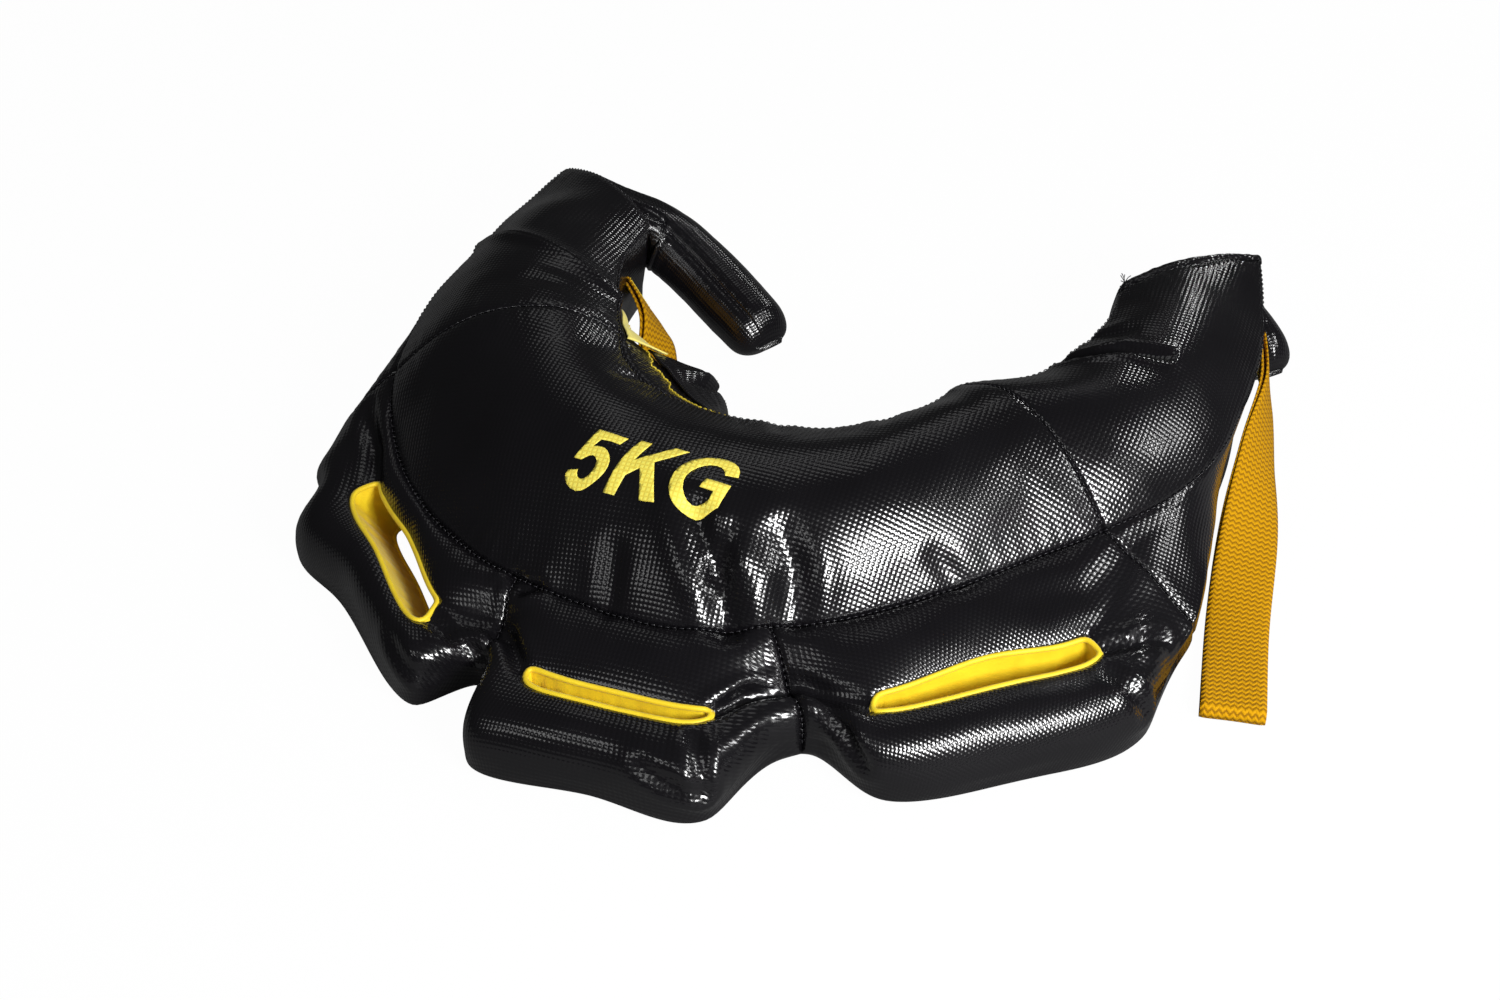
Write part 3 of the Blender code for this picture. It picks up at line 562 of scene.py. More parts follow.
def coated_tarpaulin():
    """PVC-coated woven tarpaulin, calendered: black, wet-looking, the square weave pressed through the coat."""
    if "tarpaulin" in MADE:
        return MADE["tarpaulin"]
    finish = bpy.context.scene.bag_finishes
    mat, tree, shader = surface("pvc_coated_tarpaulin", {
        "IOR": 1.53, "Coat Weight": 0.5, "Coat Roughness": 0.12, "Coat IOR": 1.5, "Specular IOR Level": 0.5})
    uv = node(tree, "ShaderNodeUVMap", {"uv_map": "cloth"})
    place = node(tree, "ShaderNodeTexCoord")
    # one raised square of the weave every 2.9 mm, rounded off by the coat
    weave = node(tree, "ShaderNodeTexVoronoi", {"voronoi_dimensions": "2D"},
                 {"Scale": 1 / WEAVE_SIZE, "Randomness": 0.04}, {"Vector": uv.outputs["UV"]})
    square = node(tree, "ShaderNodeMapRange", {"interpolation_type": "SMOOTHSTEP"},
                  {"From Min": 0.05, "From Max": 0.60, "To Min": 1.0, "To Max": 0.0},
                  {"Value": weave.outputs["Distance"]})
    # the coat wrinkles finely where it has been squeezed: 12 mm and 3 mm
    slack = node(tree, "ShaderNodeTexNoise", {}, {"Scale": 85.0, "Detail": 3.0, "Roughness": 0.5},
                 {"Vector": place.outputs["Object"]})
    broad = node(tree, "ShaderNodeTexNoise", {}, {"Scale": 14.0, "Detail": 2.0},
                 {"Vector": place.outputs["Object"]})
    tone = node(tree, "ShaderNodeMix", {"data_type": "RGBA"}, {"A": finish.cover, "B": finish.cover_worn},
                {"Factor": broad.outputs["Fac"]})
    gloss = node(tree, "ShaderNodeMapRange", {},
                 {"From Min": 0.3, "From Max": 0.7, "To Min": 0.18, "To Max": 0.27},
                 {"Value": broad.outputs["Fac"]})
    slack_bump = node(tree, "ShaderNodeBump", {}, {"Strength": 0.16, "Distance": 0.0007},
                      {"Height": slack.outputs["Fac"]})
    weave_bump = node(tree, "ShaderNodeBump", {}, {"Strength": 0.50, "Distance": 0.00032},
                      {"Height": square.outputs["Result"], "Normal": slack_bump.outputs["Normal"]})
    tree.links.new(tone.outputs["Result"], shader.inputs["Base Color"])
    tree.links.new(gloss.outputs["Result"], shader.inputs["Roughness"])
    tree.links.new(weave_bump.outputs["Normal"], shader.inputs["Normal"])
    tree.links.new(weave_bump.outputs["Normal"], shader.inputs["Coat Normal"])
    MADE["tarpaulin"] = mat
    return mat


def woven_cloth(name, colour, shade, thread, roughness, sheen, depth, crumple):
    """Plain-woven cloth on a cloth map: soft, matt, with threads crossing and painted shade, a darker tone in
    the hollows of its folds.
    """
    if name in MADE:
        return MADE[name]
    mat, tree, shader = surface(name, {
        "IOR": 1.5, "Roughness": roughness, "Sheen Weight": sheen, "Sheen Roughness": 0.4})
    uv = node(tree, "ShaderNodeUVMap", {"uv_map": "cloth"})
    place = node(tree, "ShaderNodeTexCoord")
    warp = node(tree, "ShaderNodeTexVoronoi", {"distance": "CHEBYCHEV", "voronoi_dimensions": "2D"},
                {"Scale": 1 / thread, "Randomness": 0.15}, {"Vector": uv.outputs["UV"]})
    soft = node(tree, "ShaderNodeTexNoise", {}, {"Scale": 60.0, "Detail": 4.0, "Roughness": 0.55},
                {"Vector": place.outputs["Object"]})
    # painted shade: the second colour darkens the hollows of the fold bump below, which follows the same noise
    tone = node(tree, "ShaderNodeMix", {"data_type": "RGBA"}, {"A": shade, "B": colour},
                {"Factor": soft.outputs["Fac"]})
    cross = node(tree, "ShaderNodeMapRange", {},
                 {"From Min": 0.25, "From Max": 0.5, "To Min": 0.0, "To Max": 0.35},
                 {"Value": warp.outputs["Distance"]})
    final = node(tree, "ShaderNodeMix", {"data_type": "RGBA"}, {"B": shade},
                 {"A": tone.outputs["Result"], "Factor": cross.outputs["Result"]})
    fold = node(tree, "ShaderNodeBump", {}, {"Strength": crumple, "Distance": 0.0015},
                {"Height": soft.outputs["Fac"]})
    thread_bump = node(tree, "ShaderNodeBump", {"invert": True}, {"Strength": depth, "Distance": 0.0003},
                       {"Height": warp.outputs["Distance"], "Normal": fold.outputs["Normal"]})
    tree.links.new(final.outputs["Result"], shader.inputs["Base Color"])
    tree.links.new(thread_bump.outputs["Normal"], shader.inputs["Normal"])
    MADE[name] = mat
    return mat


def nylon_lining():
    """Plain-woven nylon, dyed yellow: soft and matt, with fine threads that show close to."""
    finish = bpy.context.scene.bag_finishes
    # the shaded yellow is painted shade in the folds' hollows, and the tone between threads
    return woven_cloth("woven_nylon_lining", finish.lining, finish.lining_shade, 0.0012, 0.55, 0.2, 0.35, 0.5)


def tab_cloth():
    """Plain-woven nylon in a paler yellow: thin, matt and a little crumpled."""
    # the second, darker yellow is painted shade in the folds' hollows, and the tone between threads
    return woven_cloth("woven_nylon_tab", linear("#f7ec8e"), linear("#e9d45a"), 0.0011, 0.6, 0.2, 0.3, 0.3)


def zip_tape_cloth():
    """Knitted polyester zip tape, black: dull, with its stitches standing out."""
    # the second, darker black is painted shade in the folds' hollows, and the tone between threads
    return woven_cloth("knitted_zip_tape", linear("#141315"), linear("#080809"), 0.0013, 0.62, 0.15, 0.9, 0.4)


def polyester_webbing():
    """Jacquard polyester webbing: chevrons across the band, a little shine on the crowns of the threads."""
    if "webbing" in MADE:
        return MADE["webbing"]
    finish = bpy.context.scene.bag_finishes
    mat, tree, shader = surface("chevron_polyester_webbing", {
        "IOR": 1.5, "Roughness": 0.75, "Sheen Weight": 0.02, "Sheen Roughness": 0.5,
        "Specular IOR Level": 0.12})
    uv = node(tree, "ShaderNodeUVMap", {"uv_map": "cloth"})
    split = node(tree, "ShaderNodeSeparateXYZ", {}, {}, {"Vector": uv.outputs["UV"]})
    # zigzags 4.2 mm across, stacked every 3.8 mm along the band, a dark line between them
    zigzag = node(tree, "ShaderNodeMath", {"operation": "PINGPONG"}, {1: CHEVRON_HALF},
                  {0: split.outputs["X"]})
    lean = node(tree, "ShaderNodeMath", {"operation": "MULTIPLY"}, {1: 0.85}, {0: zigzag.outputs["Value"]})
    run = node(tree, "ShaderNodeMath", {"operation": "ADD"}, {},
               {0: split.outputs["Y"], 1: lean.outputs["Value"]})
    turn = node(tree, "ShaderNodeMath", {"operation": "MULTIPLY"}, {1: 2 * math.pi / CHEVRON_PITCH},
                {0: run.outputs["Value"]})
    rib = node(tree, "ShaderNodeMath", {"operation": "SINE"}, {}, {0: turn.outputs["Value"]})
    thread = node(tree, "ShaderNodeTexVoronoi", {"voronoi_dimensions": "2D"},
                  {"Scale": 1 / WEBBING_THREAD, "Randomness": 0.4},
                  {"Vector": uv.outputs["UV"]})
    height = node(tree, "ShaderNodeMath", {"operation": "MULTIPLY_ADD"}, {1: -0.6},
                  {0: thread.outputs["Distance"], 2: rib.outputs["Value"]})
    tone = node(tree, "ShaderNodeMapRange", {},
                {"From Min": -1.35, "From Max": -0.1, "To Min": 0.0, "To Max": 1.0},
                {"Value": height.outputs["Value"]})
    colour = node(tree, "ShaderNodeMix", {"data_type": "RGBA"},
                  {"A": finish.webbing_shade, "B": finish.webbing},
                  {"Factor": tone.outputs["Result"]})
    bump = node(tree, "ShaderNodeBump", {}, {"Strength": 0.7, "Distance": 0.00035},
                {"Height": height.outputs["Value"]})
    tree.links.new(colour.outputs["Result"], shader.inputs["Base Color"])
    tree.links.new(bump.outputs["Normal"], shader.inputs["Normal"])
    MADE["webbing"] = mat
    return mat


def plain_finish(name, colour, shade, size, roughness, bump_depth, **extra):
    """A plain finish with a fine mottled tone and grain on Object coordinates."""
    if name in MADE:
        return MADE[name]
    mat, tree, shader = surface(name, {"Roughness": roughness, **extra})
    place = node(tree, "ShaderNodeTexCoord")
    grain = node(tree, "ShaderNodeTexNoise", {}, {"Scale": 1 / size, "Detail": 3.0},
                 {"Vector": place.outputs["Object"]})
    tone = node(tree, "ShaderNodeMix", {"data_type": "RGBA"}, {"A": shade, "B": colour},
                {"Factor": grain.outputs["Fac"]})
    bump = node(tree, "ShaderNodeBump", {}, {"Strength": 0.5, "Distance": bump_depth},
                {"Height": grain.outputs["Fac"]})
    tree.links.new(tone.outputs["Result"], shader.inputs["Base Color"])
    tree.links.new(bump.outputs["Normal"], shader.inputs["Normal"])
    MADE[name] = mat
    return mat


def black_thread():
    """Bonded nylon thread, black, drawn dark grey: partly its own tone and partly painted highlight, with a
    small hard shine on every stitch.
    """
    return plain_finish("bonded_nylon_thread_black", linear("#343337"), linear("#171619"), 0.0006, 0.24,
                        0.0001, IOR=1.53)


def yellow_thread():
    """Bonded nylon thread, yellow, twisted."""
    return plain_finish("bonded_nylon_thread_yellow", linear("#f6e04a"), linear("#cfae1c"), 0.0006, 0.45,
                        0.0001, IOR=1.53)


def fibre_filling():
    """Loose polyester fibre wad: off-white, dull and tangled."""
    return plain_finish("polyester_fibre_wad", linear("#d9d4c8"), linear("#8f897b"), 0.004, 0.95, 0.001,
                        IOR=1.45)


def coil_plastic():
    """Moulded nylon coil of the zip: black with a low shine."""
    return plain_finish("moulded_nylon_coil", linear("#202022"), linear("#0d0d0e"), 0.001, 0.38, 0.00005,
                        IOR=1.53)


def black_zinc():
    """Die-cast zinc, black plated: dark and smooth, with a duller tone mottled over it."""
    return plain_finish("black_plated_zinc", linear("#3a3a3d"), linear("#1d1d1f"), 0.002, 0.32, 0.00003,
                        Metallic=1.0)


def marking_ink():
    """Screen-printed ink on the coat: pale yellow, satin, with the weave showing through."""
    if "ink" in MADE:
        return MADE["ink"]
    finish = bpy.context.scene.bag_finishes
    mat, tree, shader = surface("screen_printed_ink", {"IOR": 1.5, "Roughness": 0.5})
    uv = node(tree, "ShaderNodeUVMap", {"uv_map": "cloth"})
    weave = node(tree, "ShaderNodeTexVoronoi", {"distance": "CHEBYCHEV", "voronoi_dimensions": "2D"},
                 {"Scale": 1 / WEAVE_SIZE, "Randomness": 0.10}, {"Vector": uv.outputs["UV"]})
    square = node(tree, "ShaderNodeMapRange", {"interpolation_type": "SMOOTHSTEP"},
                  {"From Min": 0.15, "From Max": 0.5, "To Min": 1.0, "To Max": 0.0},
                  {"Value": weave.outputs["Distance"]})
    tone = node(tree, "ShaderNodeMix", {"data_type": "RGBA"},
                {"A": finish.marking_shade, "B": finish.marking},
                {"Factor": square.outputs["Result"]})
    bump = node(tree, "ShaderNodeBump", {}, {"Strength": 0.35, "Distance": 0.0003},
                {"Height": square.outputs["Result"]})
    tree.links.new(tone.outputs["Result"], shader.inputs["Base Color"])
    tree.links.new(bump.outputs["Normal"], shader.inputs["Normal"])
    MADE["ink"] = mat
    return mat


# Sizes and colours a user may change

class BagSizes(bpy.types.PropertyGroup):
    cover_thickness: FloatProperty(name="Cover thickness", description="Thickness of the coated cover",
                                   default=0.0012, min=0.0006, max=0.002, unit="LENGTH")
    seam_depth: FloatProperty(name="Seam depth", description="How far a sewn seam draws the cover in",
                              default=0.0014, min=0.0, max=0.004, unit="LENGTH")
    spare_cloth: FloatProperty(name="Spare cloth",
                               description="Share by which the cover is cut larger than its seams",
                               default=0.03, min=0.0, max=0.1, subtype="FACTOR")
    swell_limit: FloatProperty(name="Swell limit", description="How far the filling may push the cover out",
                               default=0.006, min=0.0, max=0.015, unit="LENGTH")
    stitch_length: FloatProperty(name="Stitch length", description="Distance from stitch to stitch",
                                 default=0.0042, min=0.002, max=0.008, unit="LENGTH")
    webbing_width: FloatProperty(name="Webbing width", description="Width of the webbing loops",
                                 default=0.038, min=0.02, max=0.05, unit="LENGTH")
    squash_frames: IntProperty(name="Filling frames",
                               description="Frames that the filling is given to settle",
                               default=20, min=1, max=40)


class BagFinishes(bpy.types.PropertyGroup):
    cover: FloatVectorProperty(name="Cover", description="Colour of the coated cover",
                               subtype="COLOR", size=4, default=linear("#0c0b0d"))
    cover_worn: FloatVectorProperty(name="Cover, worn", description="Its tone where it is rubbed",
                                    subtype="COLOR", size=4, default=linear("#131215"))
    lining: FloatVectorProperty(name="Lining", description="Colour of the grip linings",
                                subtype="COLOR", size=4, default=linear("#fbe32c"))
    # the shaded lining colour is painted shade in the folds' hollows, as well as the tone between threads
    lining_shade: FloatVectorProperty(name="Lining, shaded", description="Its tone between threads",
                                      subtype="COLOR", size=4, default=linear("#e3bd10"))
    webbing: FloatVectorProperty(name="Webbing", description="Colour of the webbing loops",
                                 subtype="COLOR", size=4, default=linear("#c99200"))
    webbing_shade: FloatVectorProperty(name="Webbing, shaded", description="Its tone between ribs",
                                       subtype="COLOR", size=4, default=linear("#875a00"))
    marking: FloatVectorProperty(name="Marking", description="Colour of the printed weight",
                                 subtype="COLOR", size=4, default=linear("#fcf068"))
    marking_shade: FloatVectorProperty(name="Marking, shaded", description="Its tone between threads",
                                       subtype="COLOR", size=4, default=linear("#efd850"))


# The stuffed skin

def held_points(cover):
    """The cover's sewn lines and its underside, which the filling can't move."""
    held = set()
    for key, i in cover.index.items():
        level, c, r = key
        on_neck_edge = r == 0 and level in (0, WALL_STEPS)
        on_slot = (c, r) in cover.wall_way and 0 < r < RIM_ROW and 0 < c < COLUMNS - 1
        on_turn = c in [t * PER_STATION for t in TURNS] and r >= SEAM_ROW
        across = c in (0, FIRST_NECK * PER_STATION, LAST_NECK * PER_STATION, COLUMNS - 1)
        on_top_seam = level == 0 and (r == SEAM_ROW or across)
        if level == WALL_STEPS or on_neck_edge or on_slot or on_turn or on_top_seam:
            held.add(i)
    return held


def even_out(values, edges, rounds):
    """Averages values over neighbouring points of the cloth, a number of times."""
    count = np.maximum(np.bincount(edges.reshape(-1), minlength=len(values)), 1)[:, None]
    for _ in range(rounds):
        total = np.zeros_like(values)
        for axis in range(values.shape[1]):
            total[:, axis] = np.bincount(edges[:, 0], values[edges[:, 1], axis], len(values))
            total[:, axis] += np.bincount(edges[:, 1], values[edges[:, 0], axis], len(values))
        values = 0.5 * values + 0.5 * total / count
    return values


# What is kept of the simulated move: shares of its soft wrinkles and its broad swell, and the rounds of
# averaging that part them
WRINKLE_SHARE, SWELL_SHARE = 0.32, 0.30
WRINKLE_ROUNDS, SWELL_ROUNDS = 5, 45


def stuff(obj, held, sizes):
    """Blows the filling into the cover with Cloth, and keeps what each point moves within its limit."""
    only(obj)
    before = coordinates(obj.data)
    group = obj.vertex_groups.new(name="sewn")
    group.add(sorted(held), 1.0, "REPLACE")
    bpy.ops.object.modifier_add(type="CLOTH")
    modifier = obj.modifiers[-1]
    cloth = modifier.settings
    cloth.quality = 4
    cloth.mass = 0.25
    cloth.tension_stiffness = cloth.compression_stiffness = 12
    cloth.bending_stiffness = 0.12
    cloth.use_pressure = True
    cloth.uniform_pressure_force = 4
    cloth.vertex_group_mass = "sewn"
    cloth.shrink_min = -sizes.spare_cloth
    cloth.effector_weights.gravity = 0
    modifier.collision_settings.use_collision = False
    modifier.point_cache.frame_start = 1
    modifier.point_cache.frame_end = sizes.squash_frames
    for number in range(1, sizes.squash_frames + 1):
        bpy.context.scene.frame_set(number)
    bpy.ops.object.modifier_apply(modifier=modifier.name)
    after = coordinates(obj.data)
    bpy.context.scene.frame_set(1)
    move = after - before
    far = np.linalg.norm(move, axis=1)
    move *= np.minimum(1.0, sizes.swell_limit / np.maximum(far, 1e-9))[:, None]
    move[sorted(held)] = 0
    # the broad swell is drawn already, so most of it goes; taut cloth keeps only soft wrinkles
    edges = np.empty(len(obj.data.edges) * 2, dtype=int)
    obj.data.edges.foreach_get("vertices", edges)
    edges = edges.reshape(-1, 2)
    wrinkles = even_out(move, edges, WRINKLE_ROUNDS)
    broad = even_out(move, edges, SWELL_ROUNDS)
    place = before + WRINKLE_SHARE * (wrinkles - broad) + SWELL_SHARE * broad
    place[:, 2] = np.maximum(place[:, 2], 0.0)
    obj.data.vertices.foreach_set("co", place.reshape(-1))
    obj.data.update()
    obj.vertex_groups.clear()


def grid_spot(position, share):
    """A place on the finished skin's upper side, by station and by share: 0 to 1 body, 1 to 2 grip."""
    points, index = SKIN["points"], SKIN["cover"].index
    column = position * PER_STATION
    row = share * SEAM_ROW if share <= 1 else SEAM_ROW + (share - 1) * (RIM_ROW - SEAM_ROW)
    c, r = min(int(column), COLUMNS - 2), min(int(row), ROWS - 2)
    a, b = column - c, row - r
    spot = np.zeros(3)
    weight = 0.0
    for i, j, w in ((0, 0, (1 - a) * (1 - b)), (1, 0, a * (1 - b)), (0, 1, (1 - a) * b), (1, 1, a * b)):
        key = (0, c + i, r + j)
        if key in index:
            spot += points[index[key]] * w
            weight += w
    return spot / max(weight, 1e-9)


# Folds pressed into the cover: a path by station and share, its depth and its width in metres
FOLDS = [
    ([(9.05, 0.66), (9.45, 0.78), (9.8, 0.88), (10.1, 1.00)], 0.0062, 0.0080),
    ([(9.75, 0.72), (9.75, 0.86)], 0.0030, 0.0055),
    ([(10.9, 0.74), (11.2, 0.84), (11.35, 0.97)], 0.0052, 0.0090),
    ([(8.3, 0.84), (8.5, 0.99)], 0.0020, 0.0065),
    ([(12.9, 0.90), (13.1, 1.00)], 0.0018, 0.0065),
    ([(6.08, 1.52), (6.45, 1.68), (6.85, 1.90)], 0.0044, 0.0044),
    ([(5.75, 1.80), (6.05, 1.88), (6.25, 1.94)], 0.0026, 0.0046),
    ([(7.03, 1.55), (7.40, 1.44), (7.90, 1.50)], 0.0030, 0.0044),
    ([(7.04, 1.03), (7.25, 1.10), (7.45, 1.02)], 0.0030, 0.0046),
    ([(10.04, 1.48), (10.45, 1.44), (10.97, 1.52)], 0.0056, 0.0042),
    ([(9.45, 1.84), (9.75, 1.89), (10.0, 1.93)], 0.0034, 0.0042),
    ([(9.90, 1.66), (9.98, 1.80), (10.05, 1.93)], 0.0042, 0.0044),
    ([(11.05, 1.42), (11.5, 1.50), (11.95, 1.52)], 0.0038, 0.0048),
    ([(11.35, 1.70), (11.55, 1.82), (11.75, 1.93)], 0.0044, 0.0048),
    ([(14.08, 1.55), (14.30, 1.66), (14.60, 1.84)], 0.0050, 0.0044),
    ([(13.92, 1.68), (13.98, 1.82), (14.05, 1.93)], 0.0046, 0.0044),
    ([(13.60, 1.20), (14.20, 1.28), (15.00, 1.34)], 0.0022, 0.0090),
    ([(4.0, 1.46), (3.7, 1.42), (3.2, 1.56)], 0.0030, 0.0050),
    ([(16.22, 0.02), (16.32, 0.17), (16.50, 0.30), (16.60, 0.52)], 0.0050, 0.0040),
    ([(16.75, 0.02), (16.85, 0.22)], 0.0020, 0.0050),
    ([(1.45, 0.05), (1.50, 0.36)], 0.0011, 0.0055),
    ([(1.95, 0.04), (1.95, 0.40)], 0.0012, 0.0060),
    ([(9.4, 0.00), (9.6, 0.10)], 0.0012, 0.0055),
    ([(12.5, 0.00), (12.3, 0.12)], 0.0012, 0.0055),
    ([(5.2, 0.0), (5.0, 0.12)], 0.0012, 0.0055),
]


def seam_paths():
    """The sewn lines of the skin as rows of grid keys, each with how far it draws the cloth in."""
    last = COLUMNS - 1
    paths = {"main": [(0, c, SEAM_ROW) for c in range(COLUMNS)], "neck": [(0, c, 0) for c in range(COLUMNS)]}
    for name, column in (("cross_left", FIRST_NECK), ("cross_right", LAST_NECK)):
        paths[name] = [(0, column * PER_STATION, r) for r in range(SEAM_ROW + 1)]
    for number, turn in enumerate(TURNS):
        column = turn * PER_STATION
        over = [(0, column, r) for r in range(SEAM_ROW, ROWS)]
        down = [(k, column, RIM_ROW) for k in range(1, WALL_STEPS + 1)]
        paths["grip_%d" % number] = over + down
    paths["cap_left"] = [(0, 0, r) for r in range(ROWS)]
    paths["cap_right"] = [(0, last, r) for r in range(ROWS)]
    paths["ridge_left"] = [(0, PER_STATION, r) for r in range(SEAM_ROW + 1)]
    paths["ridge_right"] = [(0, last - PER_STATION, r) for r in range(SEAM_ROW + 1)]
    return paths


# How strongly each seam draws the cloth in: a raised ridge has a negative share
SEAM_DRAW = {"main": 0.7, "neck": 0.4, "cross_left": 0.5, "cross_right": 0.5,
             "cap_left": 0.4, "cap_right": 0.4, "ridge_left": -2.2, "ridge_right": 1.0,
             "grip_0": 0.6, "grip_1": 1.8, "grip_2": 2.0, "grip_3": 0.9}
# How far from a seam the cloth is drawn, and how wide a sunken seam and a raised one are
SEAM_REACH = 0.024
SUNK_WIDTH, RAISED_WIDTH = 0.0022, 0.0058
# The puckers beside a seam: their depth, and over what distance they fade
PUCKER_DEPTH, PUCKER_FADE = 0.00034, 0.0065
# How many times a fold's width it reaches
FOLD_REACH = 4.5


def resample(points, step):
    """Even steps along a row of points, with the length run so far."""
    points = np.array(points)
    lengths = np.linalg.norm(np.diff(points, axis=0), axis=1)
    run = np.concatenate([[0], np.cumsum(lengths)])
    count = max(int(run[-1] / step), 1)
    marks = np.linspace(0, run[-1], count + 1)
    return np.stack([np.interp(marks, run, points[:, i]) for i in range(3)], axis=1), marks


def draw_in_seams(obj, sizes):
    """Sinks the seams, puckers the cloth beside them and presses the folds, on the fine skin."""
    place, normal = coordinates(obj.data), normals_of(obj.data)
    cover = SKIN["cover"]
    move = np.zeros(len(place))
    for name, keys in seam_paths().items():
        line, marks = resample([place[cover.index[k]] for k in keys], 0.0015)
        tree = kd_tree(line)
        draw = SEAM_DRAW[name]
        shift = sum(ord(letter) for letter in name)
        for i in points_near(place, line, SEAM_REACH):
            _, k, away = tree.find(place[i])
            if away > SEAM_REACH:
                continue
            run = marks[k]
            wobble = wave_noise((run, shift, 0), 0.018)
            gather = math.sin(2 * math.pi * (run / 0.0115 + 0.9 * wobble))
            gather += 0.5 * math.sin(2 * math.pi * run / 0.0067)
            amount = max(0.0, 0.5 + 0.9 * wave_noise((run, shift, 5), 0.035))
            width = SUNK_WIDTH if draw > 0 else RAISED_WIDTH
            groove = -sizes.seam_depth * draw * math.exp(-(away / width) ** 2)
            pucker = PUCKER_DEPTH * gather * amount * (away / 0.004) * math.exp(-(away / PUCKER_FADE))
            move[i] += groove + (pucker if draw > 0 else 0.3 * pucker)
    for path, depth, width in FOLDS:
        line, marks = resample([grid_spot(*p) for p in path], 0.001)
        tree = kd_tree(line)
        reach = width * FOLD_REACH
        for i in points_near(place, line, reach):
            if normal[i, 2] < -0.2:
                continue
            _, k, away = tree.find(place[i])
            if away > reach:
                continue
            along = marks[k] / marks[-1]
            fade = math.sin(math.pi * (0.12 + 0.76 * along)) ** 0.6
            dip = math.exp(-(away / width) ** 2)
            roll = math.exp(-((away - 2.0 * width) / width) ** 2)
            move[i] += depth * fade * (0.45 * roll - dip)
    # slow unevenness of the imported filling: 50 mm and 18 mm
    lift = np.array([0.0016 * wave_noise(p, 0.050) + 0.0003 * wave_noise(p + 3.0, 0.018) for p in place])
    still = np.clip((place[:, 2] - 0.004) / 0.02, 0, 1)
    move = (move + lift) * still
    place = place + normal * move[:, None]
    place[:, 2] = np.maximum(place[:, 2], 0.0)
    obj.data.vertices.foreach_set("co", place.reshape(-1))
    obj.data.update()


def read_skin(obj):
    """Keeps the finished skin's points, normals and faces for the pieces that are sewn on it."""
    mesh = obj.data
    SKIN["points"] = coordinates(mesh)
    SKIN["normals"] = normals_of(mesh)
    polygons = [tuple(p.vertices) for p in mesh.polygons]
    SKIN["polygons"] = polygons
    SKIN["tree"] = BVHTree.FromPolygons([tuple(p) for p in SKIN["points"]], polygons)


class BAG_OT_stuffed_skin(bpy.types.Operator):
    """Draw the bag's whole skin, stuff it, and sink its seams"""
    bl_idname = "bag.stuffed_skin"
    bl_label = "Stuffed skin"

    def execute(self, context):
        sizes = context.scene.bag_sizes
        cover = Cover()
        SKIN["cover"] = cover
        labels = sorted({label for label, _, _ in cover.faces})
        SKIN["labels"] = labels
        obj = mesh_object("stuffed_skin", cover.points, [ids for _, ids, _ in cover.faces], cover.uv())
        obj.data.polygons.foreach_set("material_index", [labels.index(label) for label, _, _ in cover.faces])
        for label in labels:
            obj.data.materials.append(bpy.data.materials.new("draft_" + label))
        bm = bmesh.new()
        bm.from_mesh(obj.data)
        crease = bm.edges.layers.float.new("crease_edge")
        for edge in bm.edges:
            kinds = {f.material_index for f in edge.link_faces}
            if len(kinds) > 1:
                edge[crease] = 0.9
        bm.to_mesh(obj.data)
        bm.free()
        stuff(obj, held_points(cover), sizes)
        finish_modifier(obj, "SUBSURF", levels=1, render_levels=1)
        SKIN["points"] = coordinates(obj.data)
        draw_in_seams(obj, sizes)
        read_skin(obj)
        SKIN["object"] = obj
        return {"FINISHED"}


class BAG_OT_sewn_panels(bpy.types.Operator):
    """Part the skin into its sewn panels and linings, each with its own thickness"""
    bl_idname = "bag.sewn_panels"
    bl_label = "Sewn panels"

    def execute(self, context):
        sizes = context.scene.bag_sizes
        skin = SKIN["object"]
        mesh = skin.data
        points = SKIN["points"]
        kinds = np.empty(len(mesh.polygons), dtype=int)
        mesh.polygons.foreach_get("material_index", kinds)
        layer = mesh.uv_layers[0].data
        uv = np.empty(len(layer) * 2)
        layer.foreach_get("uv", uv)
        uv = uv.reshape(-1, 2)
        for number, label in enumerate(SKIN["labels"]):
            chosen = [mesh.polygons[i] for i in np.where(kinds == number)[0]]
            used = sorted({v for p in chosen for v in p.vertices})
            renumber = {v: i for i, v in enumerate(used)}
            corners = [uv[k] for p in chosen for k in p.loop_indices]
            place = points[used].copy()
            lining = label.startswith("slot_lining")
            if lining:
                place = self.pleats(place, SKIN["normals"][used], label)
            obj = mesh_object(label, place, [[renumber[v] for v in p.vertices] for p in chosen], corners)
            finish_modifier(obj, "SOLIDIFY", thickness=sizes.cover_thickness, offset=-1.0)
            cloth = nylon_lining() if lining else coated_tarpaulin()
            dress(obj, cloth, "bag", (label,))
        bpy.data.objects.remove(skin, do_unlink=True)
        return {"FINISHED"}

    def pleats(self, place, normal, label):
        """Upright pleats in a lining, deepest at the slot's two ends."""
        first, last = [grid_spot(t, 1.5) for t in SLOT_SPANS[label.split("_")[-1]]]
        way = (last - first) / np.linalg.norm(last - first)
        run = (place - first) @ way
        long = np.linalg.norm(last - first)
        ends = np.exp(-np.minimum(run, long - run) / 0.018)
        high = place[:, 2].max()
        rise = np.clip((high - place[:, 2]) / 0.012, 0, 1)
        fold = np.array([math.sin(2 * math.pi * (r / 0.0095 + wave_noise((r, 0, 2), 0.02))) for r in run])
        depth = (0.0003 + 0.0011 * ends) * fold * rise
        return place + normal * depth[:, None]


